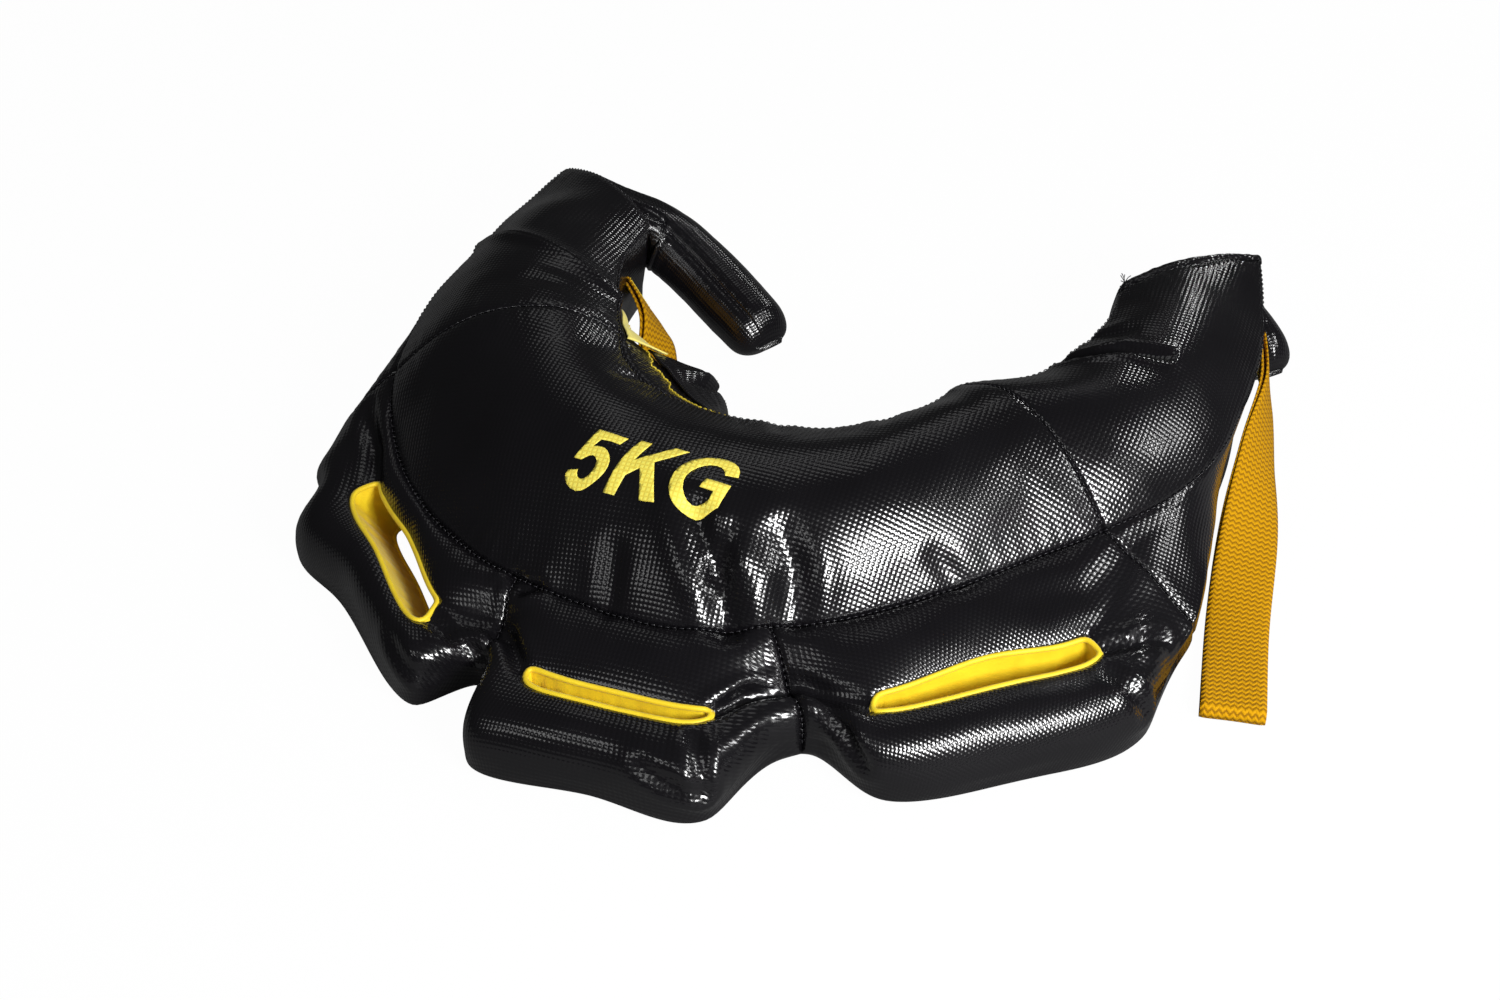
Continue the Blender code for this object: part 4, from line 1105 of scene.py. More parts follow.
def tube(line, radius, sides=8, closed=True, flat=1.0):
    """Vertices, faces and cloth coordinates of a round tube along a row of points."""
    line = np.array(line)
    count = len(line)
    vertices, polygons, uvs = [], [], []
    run = 0.0
    runs = []
    for k in range(count):
        before = line[(k - 1) % count] if closed or k else line[0]
        after = line[(k + 1) % count] if closed or k < count - 1 else line[-1]
        way = Vector(after - before).normalized()
        side = way.cross(Vector((0, 0, 1)))
        side = side.normalized() if side.length > 1e-4 else Vector((1, 0, 0))
        up = side.cross(way)
        runs.append(run)
        run += float(np.linalg.norm(line[(k + 1) % count] - line[k]))
        for j in range(sides):
            turn = 2 * math.pi * j / sides
            vertices.append(Vector(line[k]) + side * radius * math.cos(turn)
                            + up * radius * flat * math.sin(turn))
    runs.append(run)
    girth = 2 * math.pi * radius
    for k in range(count if closed else count - 1):
        for j in range(sides):
            a, b = k * sides, (k + 1) % count * sides
            polygons.append([a + j, b + j, b + (j + 1) % sides, a + (j + 1) % sides])
            uvs += [(runs[k], girth * j / sides), (runs[k + 1], girth * j / sides),
                    (runs[k + 1], girth * (j + 1) / sides), (runs[k], girth * (j + 1) / sides)]
    if not closed:
        polygons += [list(range(sides)), list(reversed(range((count - 1) * sides, count * sides)))]
        uvs += [(0, 0)] * (2 * sides)
    return vertices, polygons, uvs


class BAG_OT_slot_bindings(bpy.types.Operator):
    """Roll each lining's edge over the grip slot as a soft binding"""
    bl_idname = "bag.slot_bindings"
    bl_label = "Slot bindings"

    def execute(self, context):
        index, points = SKIN["cover"].index, SKIN["points"]
        for name, (first, last) in SLOT_SPANS.items():
            c0, c1 = first * PER_STATION, last * PER_STATION
            vertices, polygons, uvs = [], [], []
            for level, radius in ((0, 0.0017), (WALL_STEPS, 0.0013)):
                loop = [(level, c, NEAR_ROW) for c in range(c0, c1)]
                loop += [(level, c1, r) for r in range(NEAR_ROW, FAR_ROW)]
                loop += [(level, c, FAR_ROW) for c in range(c1, c0, -1)]
                loop += [(level, c0, r) for r in range(FAR_ROW, NEAR_ROW, -1)]
                line = np.array([points[index[k]] for k in loop])
                line, _ = resample(np.vstack([line, line[:1]]), 0.003)
                line = line[:-1]
                for _ in range(2):
                    line = (np.roll(line, 1, 0) + 2 * line + np.roll(line, -1, 0)) / 4
                line[:, 2] += -0.0002 if level == 0 else 0.0013
                v, p, u = tube(line, radius, 10)
                polygons += [[i + len(vertices) for i in face] for face in p]
                vertices += v
                uvs += u
            obj = mesh_object("slot_binding_" + name, vertices, polygons, uvs)
            turn_outward(obj)
            dress(obj, nylon_lining(), "bag")
        return {"FINISHED"}


class BAG_OT_fillings(bpy.types.Operator):
    """Pack the covers with fibre, each wad a little smaller than the space it fills"""
    bl_idname = "bag.fillings"
    bl_label = "Fillings"

    def execute(self, context):
        names = [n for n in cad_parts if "filling" in n]
        for name in names:
            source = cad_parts[name]
            bm = bmesh.new()
            bm.from_mesh(source.data)
            bm.transform(source.matrix_world)
            bmesh.ops.remove_doubles(bm, verts=bm.verts, dist=1e-5)
            bmesh.ops.subdivide_edges(bm, edges=bm.edges, cuts=1, use_grid_fill=True)
            for _ in range(2):
                bmesh.ops.smooth_vert(bm, verts=bm.verts, factor=0.4, use_axis_x=True, use_axis_y=True,
                                      use_axis_z=True)
            bm.normal_update()
            side = name.split("_")[-1]
            body = "finger_" + side if name.startswith("finger") else "bag"
            wall = SKIN["tree"] if body == "bag" else SKIN[body]
            # how far the wad is drawn in, and how clear it stays of its cover
            inset, clear = (0.003, 0.0040) if body == "bag" else (0.0015, 0.0028)
            for vertex in bm.verts:
                if name == "grip_filling_left":
                    vertex.co -= Vector(self.lean_of_slot(vertex.co))
                tangle = 0.0009 * wave_noise(vertex.co, 0.012)
                vertex.co -= vertex.normal * (inset + tangle)
                hit, normal, _, _ = wall.find_nearest(vertex.co)
                if (hit - vertex.co).dot(normal) < clear:
                    vertex.co = hit - normal * clear
            bmesh.ops.recalc_face_normals(bm, faces=bm.faces)
            mesh = bpy.data.meshes.new("fibre_" + name)
            bm.to_mesh(mesh)
            bm.free()
            mesh.polygons.foreach_set("use_smooth", [True] * len(mesh.polygons))
            obj = bpy.data.objects.new("fibre_" + name, mesh)
            context.collection.objects.link(obj)
            dress(obj, fibre_filling(), None, (name,))
            if body == "bag":
                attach(obj, body)
            else:
                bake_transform(obj)
        return {"FINISHED"}

    def lean_of_slot(self, place):
        """How far the left grip's wad gives way to the leaning walls of its slot."""
        first, last = SLOT_SPANS["left"]
        near, far = [[np.array([p[k][0] * HALF_WIDTH, p[k][1] * DEPTH]) + REST[:2]
                      for p in STATIONS[first:last + 1]] for k in (2, 3)]
        along = (near[2] - near[0]) / np.linalg.norm(near[2] - near[0])
        across = np.array([along[1], -along[0]])
        if across @ (far[1] - near[1]) < 0:
            across = -across
        off = np.array(place)[:2] - near[1]
        run, side = abs(off @ along), off @ across
        wide = float(across @ (far[1] - near[1]))
        weight = float(np.interp(side, [-0.022, 0.0, wide, 0.050], [0, 1, 1, 0]))
        weight *= float(np.interp(run, [0.055, 0.070], [1, 0]))
        lean = float(np.interp(side, [0.0, wide], [-SLOT_LEAN["left"][0], -SLOT_LEAN["left"][1]]))
        depth = max(0.0, 1 - place.z / 0.048)
        return (*(across * lean * weight * depth), 0.0)


# Handles and webbing

def path_frames(path, steps):
    """Evenly stepped points, directions and positions along a smooth path."""
    total = (len(path) - 1) * steps
    rows = [np.array(p) for p in path]
    spots = [smooth_rows(rows, k / steps) + REST for k in range(total + 1)]
    frames = []
    for k, spot in enumerate(spots):
        ahead = spots[min(k + 1, total)] - spots[max(k - 1, 0)]
        frames.append((Vector(spot), Vector(ahead).normalized(), k / steps))
    return frames


class BAG_OT_finger_handles(bpy.types.Operator):
    """Sew the two tapered stuffed handles, gathered at the root and pinched flat at the tip"""
    bl_idname = "bag.finger_handles"
    bl_label = "Finger handles"

    def execute(self, context):
        for side in FINGER_PATHS:
            self.handle(side, context.scene.bag_sizes)
        return {"FINISHED"}

    def handle(self, side, sizes):
        around, steps = 72, 26
        frames = path_frames(FINGER_PATHS[side], steps)
        root_half, root_tall, root_shift, seam_turn = FINGER_ROOTS[side]
        girth = 2 * math.pi * FINGER_RADIUS
        rings, seam_line = [], []
        run = 0.0
        for k, (spot, way, t) in enumerate(frames):
            way = Vector(END_WAYS[side]).lerp(way, min(t / 0.9, 1.0)).normalized()
            across = way.cross(Vector((0, 0, 1))).normalized()
            up = across.cross(way).normalized()
            radius = FINGER_RADIUS * float(np.interp(t, range(5), FINGER_TAPER))
            flare = max(0.0, 1 - t / 1.15) ** 2.2
            wide = radius + (root_half - radius) * flare
            tall = radius + (root_tall - radius) * flare
            spot = spot - across * root_shift * flare
            tip = min(max((t - TIP_START) / TIP_LENGTH, 0.0), 1.0)
            pinch = tip ** 2.2
            tall = tall * (1 - TIP_FLATTER * pinch)
            wide = wide * (1 - TIP_NARROWER * tip ** 3)
            if k:
                run += (spot - frames[k - 1][0]).length
            ring = []
            for j in range(around):
                turn = 2 * math.pi * j / around
                grow = self.relief(turn, math.radians(seam_turn), radius, run, t, spot)
                px, py = math.cos(turn), math.sin(turn)
                power = 2.0 + 0.7 * flare
                scale = (abs(px) ** power + abs(py) ** power) ** (-1 / power)
                ring.append(spot + across * px * scale * (wide + grow)
                            + up * py * scale * (tall + grow * (1 - 0.8 * pinch)))
            rings.append(ring)
            seam_line.append((spot, across, up, wide, tall))
        # the tip's sewn edge: a flat flange past the last ring
        spot, way, _ = frames[-1]
        across = way.cross(Vector((0, 0, 1))).normalized()
        up = across.cross(way).normalized()
        for ahead, wide, tall in TIP_FLANGE:
            rings.append([spot + way * ahead + across * math.cos(2 * math.pi * j / around) * wide
                          + up * math.sin(2 * math.pi * j / around) * tall for j in range(around)])
        vertices = [v for ring in rings for v in ring]
        polygons, uvs = [], []
        for k in range(len(rings) - 1):
            a, b = k * around, (k + 1) * around
            high, low = k * 0.0022, (k + 1) * 0.0022
            for j in range(around):
                n = (j + 1) % around
                polygons.append([a + j, a + n, b + n, b + j])
                left, right = girth * j / around, girth * (j + 1) / around
                uvs += [(left, high), (right, high), (right, low), (left, low)]
        last = (len(rings) - 1) * around
        polygons.append([last + j for j in range(around)])
        uvs += [(0, 0)] * around
        obj = mesh_object("finger_skin_" + side, vertices, polygons, uvs)
        for polygon in obj.data.polygons:
            polygon.use_smooth = True
        bm = bmesh.new()
        bm.from_mesh(obj.data)
        centre = sum((Vector(v) for v in rings[10]), Vector()) / around
        bm.faces.ensure_lookup_table()
        probe = bm.faces[10 * around + 3]
        if (probe.calc_center_median() - centre).dot(probe.normal) < 0:
            bmesh.ops.reverse_faces(bm, faces=bm.faces)
        bm.to_mesh(obj.data)
        bm.free()
        SKIN["finger_" + side] = BVHTree.FromPolygons([tuple(v.co) for v in obj.data.vertices],
                                                      [tuple(p.vertices) for p in obj.data.polygons])
        finish_modifier(obj, "SOLIDIFY", thickness=sizes.cover_thickness, offset=-1.0)
        dress(obj, coated_tarpaulin(), None, ("finger_cover_" + side,))
        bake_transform(obj)
        # stitches down the middle seam
        line, outs = [], []
        for spot, over, rise, wide, tall in seam_line[16:-6]:
            turn = math.radians(seam_turn)
            out = over * math.cos(turn) + rise * math.sin(turn)
            foot = spot + over * math.cos(turn) * wide + rise * math.sin(turn) * tall
            line.append(np.array(foot - out * 0.0014))
            outs.append(np.array(out))
        threads = stitch_row("finger_stitches_" + side, [(line, outs)], sizes.stitch_length, 0.0003)
        dress(threads, black_thread(), None)
        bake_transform(threads)

    def relief(self, turn, seam_turn, radius, run, t, spot):
        """How far a handle's skin stands out of its round: seams, puckers, gathers, bends and lumps."""
        groove = 0.0
        for seam in (seam_turn, seam_turn + math.pi):
            off = math.remainder(turn - seam, 2 * math.pi)
            gap = off * radius
            groove += 0.0024 * math.exp(-(gap / 0.0025) ** 2)
            pucker = math.sin(2 * math.pi * run / 0.0085 + 3 * wave_noise((run, off, 1), 0.03))
            groove += 0.00045 * pucker * math.exp(-(abs(gap) / 0.006)) * min(abs(gap) / 0.003, 1)
        gathers = 0.0005 * math.sin(11 * turn + 2.2 * wave_noise((t * 0.02, 0, 0), 0.01))
        gathers *= max(0.0, 1 - abs(t - 0.35) / 0.75)
        bend = 0.0005 * math.sin(2 * math.pi * run / 0.011 + 1.5 * math.cos(turn))
        bend *= math.exp(-((t - 1.05) / 0.45) ** 2) * max(0.0, -math.cos(turn - math.radians(200)))
        lump = 0.0008 * wave_noise(spot, 0.030) + 0.0002 * wave_noise((run, turn * 0.02, 3), 0.012)
        return gathers + bend + lump - groove


def stitch_row(name, rows, pitch, radius, fill=0.68):
    """Short bowed stitches along rows of (points, outward directions), each of a few faces."""
    vertices, polygons = [], []
    for points, outs in rows:
        points, outs = np.array(points, dtype=float), np.array(outs, dtype=float)
        lengths = np.linalg.norm(np.diff(points, axis=0), axis=1)
        run = np.concatenate([[0], np.cumsum(lengths)])
        count = int(run[-1] / pitch)
        for n in range(count):
            marks = [(n + 0.5 + fill * (u - 0.5)) * pitch for u in (0, 0.18, 0.5, 0.82, 1)]
            base = len(vertices)
            spots = [np.array([np.interp(m, run, points[:, i]) for i in range(3)]) for m in marks]
            out = np.array([np.interp(marks[2], run, outs[:, i]) for i in range(3)])
            out /= max(np.linalg.norm(out), 1e-9)
            way = spots[-1] - spots[0]
            way /= max(np.linalg.norm(way), 1e-9)
            over = np.cross(way, out)
            for spot, rise, thick in zip(spots, (-0.9, 0.25, 0.6, 0.25, -0.9), (0.6, 0.95, 1.0, 0.95, 0.6)):
                for j in range(6):
                    turn = math.pi * j / 3
                    vertices.append(spot + out * radius * (rise + thick * math.sin(turn))
                                    + over * radius * thick * math.cos(turn))
            for k in range(4):
                for j in range(6):
                    n2 = (j + 1) % 6
                    low, high = base + k * 6, base + (k + 1) * 6
                    polygons.append([low + j, low + n2, high + n2, high + j])
            polygons.append([base + j for j in reversed(range(6))])
            polygons.append([base + 24 + j for j in range(6)])
    obj = mesh_object(name, vertices, polygons)
    turn_outward(obj, merge=False)
    return obj


class BAG_OT_webbing_loops(bpy.types.Operator):
    """Fold the two webbing loops, each a band doubled back on itself"""
    bl_idname = "bag.webbing_loops"
    bl_label = "Webbing loops"

    def execute(self, context):
        for side in STRAP_PATHS:
            self.loop(side, context.scene.bag_sizes)
        return {"FINISHED"}

    def loop(self, side, sizes):
        steps, folds, across = 16, 14, 12
        path, leans = STRAP_PATHS[side], STRAP_LEANS[side]
        line = []
        for spot, way, t in path_frames(path, steps):
            lean = math.radians(float(smooth_rows([np.array([float(v)]) for v in leans], t)[0]))
            flat = way.cross(Vector((0, 0, 1))).normalized()
            rise = flat.cross(way).normalized()
            width = flat * math.cos(lean) + rise * math.sin(lean)
            line.append((spot, way, width, width.cross(way).normalized(), t))
        half = LOOP_SPREAD / 2
        # the two layers lie close together at the root and part towards the fold
        gaps = [ROOT_SPREAD + (1 - ROOT_SPREAD) * (t / (len(path) - 1)) ** 3 for *_, t in line]
        lane = [(spot - lift * half * gap, width, lift * -1)
                for (spot, _, width, lift, _), gap in zip(line, gaps)]
        spot, way, width, lift, _ = line[-1]
        for k in range(1, folds):
            turn = math.pi * k / folds
            out = lift * -math.cos(turn) + way * math.sin(turn)
            lane.append((spot + out * half, width, out))
        lane += [(spot + lift * half * gap, width, lift)
                 for (spot, _, width, lift, _), gap in zip(reversed(line), reversed(gaps))]
        half_width, half_thick = sizes.webbing_width / 2, WEBBING_THICKNESS / 2
        profile = []
        for j in range(across + 1):
            u = -1 + 2 * j / across
            profile.append((u * half_width, half_thick * (1 - 0.55 * abs(u) ** 8)))
        loop = [(x, y) for x, y in profile] + [(x, -y) for x, y in reversed(profile)]
        vertices, polygons, uvs = [], [], []
        run, runs = 0.0, []
        for k, (spot, width, out) in enumerate(lane):
            if k:
                run += (spot - lane[k - 1][0]).length
            runs.append(run)
            for x, y in loop:
                cup = 0.0006 * (x / half_width) ** 2 * math.sin(run * 45)
                vertices.append(spot + width * x + out * (y + cup))
        count = len(loop)
        for k in range(len(lane) - 1):
            for j in range(count):
                n = (j + 1) % count
                polygons.append([k * count + j, k * count + n, (k + 1) * count + n, (k + 1) * count + j])
                x, wrap = loop[j][0], loop[n][0]
                uvs += [(x, runs[k]), (wrap, runs[k]), (wrap, runs[k + 1]), (x, runs[k + 1])]
        polygons += [list(range(count)), list(reversed(range((len(lane) - 1) * count, len(lane) * count)))]
        uvs += [(0, 0)] * (2 * count)
        obj = mesh_object("webbing_loop_" + side, vertices, polygons, uvs)
        turn_outward(obj)
        dress(obj, polyester_webbing(), "strap_" + side, ("strap_" + side,))
        # two cross rows of stitches hold the doubled band at its root
        rows = []
        for layer in (0.010, 0.016):
            for lanes in (lane, list(reversed(lane))):
                spot, width, out = lanes[max(1, int(layer / 0.0028))]
                marks = [spot + width * u * half_width * 0.86 + out * half_thick
                         for u in np.linspace(-1, 1, 9)]
                rows.append(([np.array(m) for m in marks], [np.array(out)] * 9))
        threads = stitch_row("webbing_stitches_" + side, rows, 0.0028, 0.00042)
        dress(threads, yellow_thread(), "strap_" + side)


# Closure on the neck gusset
# Where the closure's cloths lie: turns round the neck, and shares down the gusset
TAB_SPAN, FLAP_SPAN, ZIP_SPAN = [tuple(math.radians(turn) for turn in span)
                                 for span in ((198, 213.5), (212, 252), (224, 326))]
TAB_SHARES, FLAP_SHARES = (0.02, 0.22), (0.18, 0.46)
TAPES = (("zip_tape_upper", (0.30, 0.455)), ("zip_tape_lower", (0.545, 0.70)))
SLIDER_ANGLE = math.radians(266)
# Down to which share the flap is loose below its sewn top edge; the point there is worked out and not used
FLAP_LOOSE = 0.32
# The height of the gusset's lower edge, and about how high its wall is
GUSSET_FOOT, GUSSET_HIGH = 0.010, 0.088


def gusset_spot(angle, share, lift):
    """A place on the gusset by its turn round the neck and its share down the wall, standing off by lift."""
    turn = NECK_ANGLES[1] - NECK_ANGLES[0]
    position = FIRST_NECK + (angle - NECK_ANGLES[0]) / turn * (LAST_NECK - FIRST_NECK)
    high = grid_spot(position, 0.0)[2]
    z = high + (GUSSET_FOOT - high) * share
    centre = Vector((NECK_CENTRE[0], NECK_CENTRE[1] + REST[1], z))
    way = Vector((math.cos(angle), math.sin(angle), 0))
    found = SKIN["tree"].ray_cast(centre + way * 0.03, way)[0]
    if found is None:
        found = centre + way * NECK_RADIUS
    return found - way * lift


def gusset_sheet(name, angles, shares, lift, columns, rows, thickness):
    """A thin cloth strip on the gusset: lift(u, v) is its stand-off along and down the strip."""
    vertices, uvs, polygons = [], [], []
    for i in range(columns + 1):
        for j in range(rows + 1):
            u, v = i / columns, j / rows
            vertices.append(gusset_spot(between(angles, u), between(shares, v), lift(u, v)))
    long = NECK_RADIUS * (angles[1] - angles[0])
    high = GUSSET_HIGH * (shares[1] - shares[0])
    for i in range(columns):
        for j in range(rows):
            ids = [(i, j), (i, j + 1), (i + 1, j + 1), (i + 1, j)]
            polygons.append([a * (rows + 1) + b for a, b in ids])
            uvs += [(long * a / columns, high * b / rows) for a, b in ids]
    obj = mesh_object(name, vertices, polygons, uvs)
    centre = Vector((NECK_CENTRE[0], NECK_CENTRE[1] + REST[1], 0.05))
    probe = obj.data.polygons[len(polygons) // 2]
    if (centre - probe.center).dot(probe.normal) < 0:
        obj.data.flip_normals()
    finish_modifier(obj, "SOLIDIFY", thickness=thickness, offset=1.0)
    return obj, (long, high)


class BAG_OT_closure(bpy.types.Operator):
    """Sew the filling opening's closure on the neck gusset: tab, flap, zip tapes, teeth, slider and pull"""
    bl_idname = "bag.closure"
    bl_label = "Closure"

    def execute(self, context):
        self.tab()
        self.flap()
        for name, shares in TAPES:
            strip, size = gusset_sheet(name + "_cloth", ZIP_SPAN, shares, lambda u, v: 0.0006, 120, 6, 0.0010)
            dress(strip, zip_tape_cloth(), "bag", (name,))
        self.teeth()
        self.slider()
        self.facing_thread()
        return {"FINISHED"}

    def rows(self, angles, shares, lift, clear, along, down):
        """Rows of places for stitches on a cloth of the closure, standing clear of it."""
        rows = []
        for v in down:
            spots = [np.array(gusset_spot(between(angles, u), between(shares, v), lift(u, v) + clear))
                     for u in along]
            rows.append((spots, [self.inward(s) for s in spots]))
        return rows

    def tab(self):
        """The yellow tab at the gusset's left end, with its two rows of stitches."""
        def droop(u, v):
            return 0.0012 + 0.0080 * v * (0.4 + 0.6 * u) + 0.0005 * math.sin(9 * u + 4 * v)

        tab, size = gusset_sheet("neck_tab_cloth", TAB_SPAN, TAB_SHARES, droop, 20, 20, 0.0010)
        dress(tab, tab_cloth(), "bag", ("neck_tab",))
        rows = self.rows(TAB_SPAN, TAB_SHARES, droop, 0.0012, np.linspace(0.04, 0.96, 16), (0.62, 0.80))
        dress(stitch_row("tab_stitches", rows, 0.0030, 0.00042), yellow_thread(), "bag")

    def flap(self):
        """The buckled flap over the zip, sewn along its top edge."""
        def buckle(u, v):
            arch = math.sin(math.pi * ((u * 2) % 1.0)) ** 0.8
            return 0.0016 + 0.0044 * min(v * 3.0, 1.0) + 0.0110 * arch * min(v * 1.8, 1.0) ** 1.3

        flap, size = gusset_sheet("closure_flap_cloth", FLAP_SPAN, FLAP_SHARES, buckle, 64, 18, 0.0016)
        dress(flap, coated_tarpaulin(), None, ("closure_flap",))
        # the points where the top edge is sewn to the gusset and down to which the cloth below it is loose,
        # worked out and not used further
        held, loose = (gusset_spot(sum(FLAP_SPAN) / 2, share, 0.0) for share in (FLAP_SHARES[0], FLAP_LOOSE))
        held, loose = tuple(held), (held[0], held[1], loose[2])
        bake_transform(flap)
        rows = self.rows(FLAP_SPAN, FLAP_SHARES, buckle, 0.0017, np.linspace(0.01, 0.99, 90),
                         (0.12, 0.82, 0.93))
        threads = stitch_row("flap_stitches", rows, 0.0030, 0.00040)
        dress(threads, black_thread(), None)
        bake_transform(threads)

    def facing_thread(self):
        """A wavering line of yellow thread that sews the gusset's facing down."""
        angles = np.linspace(math.radians(211), math.radians(264), 150)
        spots = []
        for a in angles:
            share = float(np.interp(a, np.radians([211, 222, 236, 250, 264]),
                                    [0.155, 0.14, 0.11, 0.05, 0.04]))
            off = a - angles[0]
            share += (0.022 * math.sin(off * 22) + 0.012 * math.sin(off * 51)) * share / 0.19
            spots.append(np.array(gusset_spot(a, share, 0.0004)))
        rows = [(spots, [self.inward(s) for s in spots])]
        dress(stitch_row("gusset_facing_thread", rows, 0.0036, 0.00055, 0.96), yellow_thread(),
              "bag")

    def inward(self, spot):
        """The way from a place on the gusset to the neck's middle."""
        way = np.array([NECK_CENTRE[0], NECK_CENTRE[1] + REST[1], spot[2]]) - spot
        return way / np.linalg.norm(way)

    def block(self, size, bevel, segments, shift=(0, 0, 0)):
        """A block with bevelled edges, made about the origin."""
        bpy.ops.object.select_all(action="DESELECT")
        bpy.ops.mesh.primitive_cube_add(size=1.0, location=(0, 0, 0))
        bpy.ops.object.mode_set(mode="EDIT")
        bpy.ops.mesh.select_all(action="SELECT")
        bpy.ops.transform.resize(value=size)
        bpy.ops.transform.translate(value=shift)
        bpy.ops.mesh.bevel(offset=bevel, segments=segments, affect="EDGES")
        bpy.ops.object.mode_set(mode="OBJECT")
        return bpy.context.active_object

    def teeth(self):
        """One moulded tooth, copied along both edges of the zip."""
        tooth = self.block((0.0011, 0.0019, 0.0024), 0.0003, 1)
        shape = coordinates(tooth.data)
        faces = [tuple(p.vertices) for p in tooth.data.polygons]
        bpy.data.objects.remove(tooth, do_unlink=True)
        vertices, polygons = [], []
        pitch = 0.0016
        count = int(NECK_RADIUS * (ZIP_SPAN[1] - ZIP_SPAN[0]) / pitch)
        for n in range(count):
            angle = between(ZIP_SPAN, (n + 0.5) / count)
            foot = gusset_spot(angle, 0.485 if n % 2 else 0.515, 0.0016)
            out = Vector((-math.cos(angle), -math.sin(angle), 0))
            along = Vector((-math.sin(angle), math.cos(angle), 0))
            base = len(vertices)
            vertices += [foot + along * x + out * y + Vector((0, 0, z)) for x, y, z in shape]
            polygons += [[i + base for i in face] for face in faces]
        obj = mesh_object("zip_coil_teeth", vertices, polygons, smooth=False)
        turn_outward(obj)
        dress(obj, coil_plastic(), "bag", ("zip_teeth",))

    def slider(self):
        """The slider's body with its bridge, and the pull that hangs from it."""
        out = Vector((-math.cos(SLIDER_ANGLE), -math.sin(SLIDER_ANGLE), 0))
        along = Vector((-math.sin(SLIDER_ANGLE), math.cos(SLIDER_ANGLE), 0))
        turn = Matrix((along, out, Vector((0, 0, 1)))).transposed().to_4x4()
        body = self.block((0.0098, 0.0030, 0.0088), 0.0006, 3)
        bridge = self.block((0.0030, 0.0016, 0.0060), 0.0006, 3, shift=(0, 0.0017, 0))
        self.joined("zip_slider_body", [body, bridge], turn, "zip_slider")
        tag = self.block((0.0060, 0.0014, 0.0238), 0.0006, 3)
        bpy.ops.object.mode_set(mode="EDIT")
        bpy.ops.mesh.select_all(action="DESELECT")
        bpy.ops.object.mode_set(mode="OBJECT")
        for polygon in tag.data.polygons:
            polygon.select = abs(polygon.normal.y) > 0.98 and polygon.area > 4e-5
        bpy.ops.object.mode_set(mode="EDIT")
        bpy.ops.mesh.inset(thickness=0.0012, depth=-0.00035)
        bpy.ops.object.mode_set(mode="OBJECT")
        self.joined("zip_pull_tag", [tag], turn, "zip_pull")

    def joined(self, name, parts, turn, replaced):
        """Joins blocks into one piece and sets it, turned, in the middle of the node that it stands for."""
        bpy.ops.object.select_all(action="DESELECT")
        for part in parts:
            part.select_set(True)
        bpy.context.view_layer.objects.active = parts[0]
        if len(parts) > 1:
            bpy.ops.object.join()
        obj = bpy.context.active_object
        obj.name = name
        obj.data.name = name
        low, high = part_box(replaced)
        obj.data.transform(Matrix.Translation((low + high) / 2) @ turn)
        turn_outward(obj)
        bpy.ops.object.shade_smooth_by_angle(angle=math.radians(40))
        dress(obj, black_zinc(), replaced, (replaced,))


# Stitching and marking

class BAG_OT_stitching(bpy.types.Operator):
    """Run the black stitching along the bag's seams"""
    bl_idname = "bag.stitching"
    bl_label = "Stitching"

    def execute(self, context):
        sizes = context.scene.bag_sizes
        index, points, normals = SKIN["cover"].index, SKIN["points"], SKIN["normals"]
        groups = {
            "main_seam_stitches": ["main"], "neck_seam_stitches": ["neck"],
            "cross_seam_stitches": ["cross_left", "cross_right"],
            "cap_seam_stitches": ["cap_left", "cap_right"],
            "grip_seam_stitches": ["grip_0", "grip_1", "grip_2", "grip_3"]}
        paths = seam_paths()
        for name, members in groups.items():
            rows = []
            for member in members:
                keys = [index[k] for k in paths[member]]
                outs = normals[keys]
                line = points[keys] + outs * 0.0002
                rows.append((line, outs))
            obj = stitch_row(name, rows, sizes.stitch_length, 0.00032, 0.66)
            dress(obj, black_thread(), "bag")
        self.tuft()
        return {"FINISHED"}

    def tuft(self):
        """A tuft of cut thread ends on the right horn's inner corner."""
        corner = grid_spot(18.95, 0.02)
        vertices, polygons = [], []
        for n in range(7):
            lean = np.array([math.cos(2.1 * n), math.sin(2.9 * n), 1.2 + 0.5 * math.sin(n)])
            lean /= np.linalg.norm(lean)
            line = [corner + lean * 0.0062 * u + np.array([0.0012, -0.0006, 0]) * math.sin(3 * u + n) * u
                    for u in np.linspace(-0.1, 1, 6)]
            v, p, _ = tube(line, 0.0003, 5, closed=False)
            polygons += [[i + len(vertices) for i in face] for face in p]
            vertices += v
        obj = mesh_object("corner_thread_tuft", vertices, polygons)
        turn_outward(obj)
        dress(obj, black_thread(), "bag")


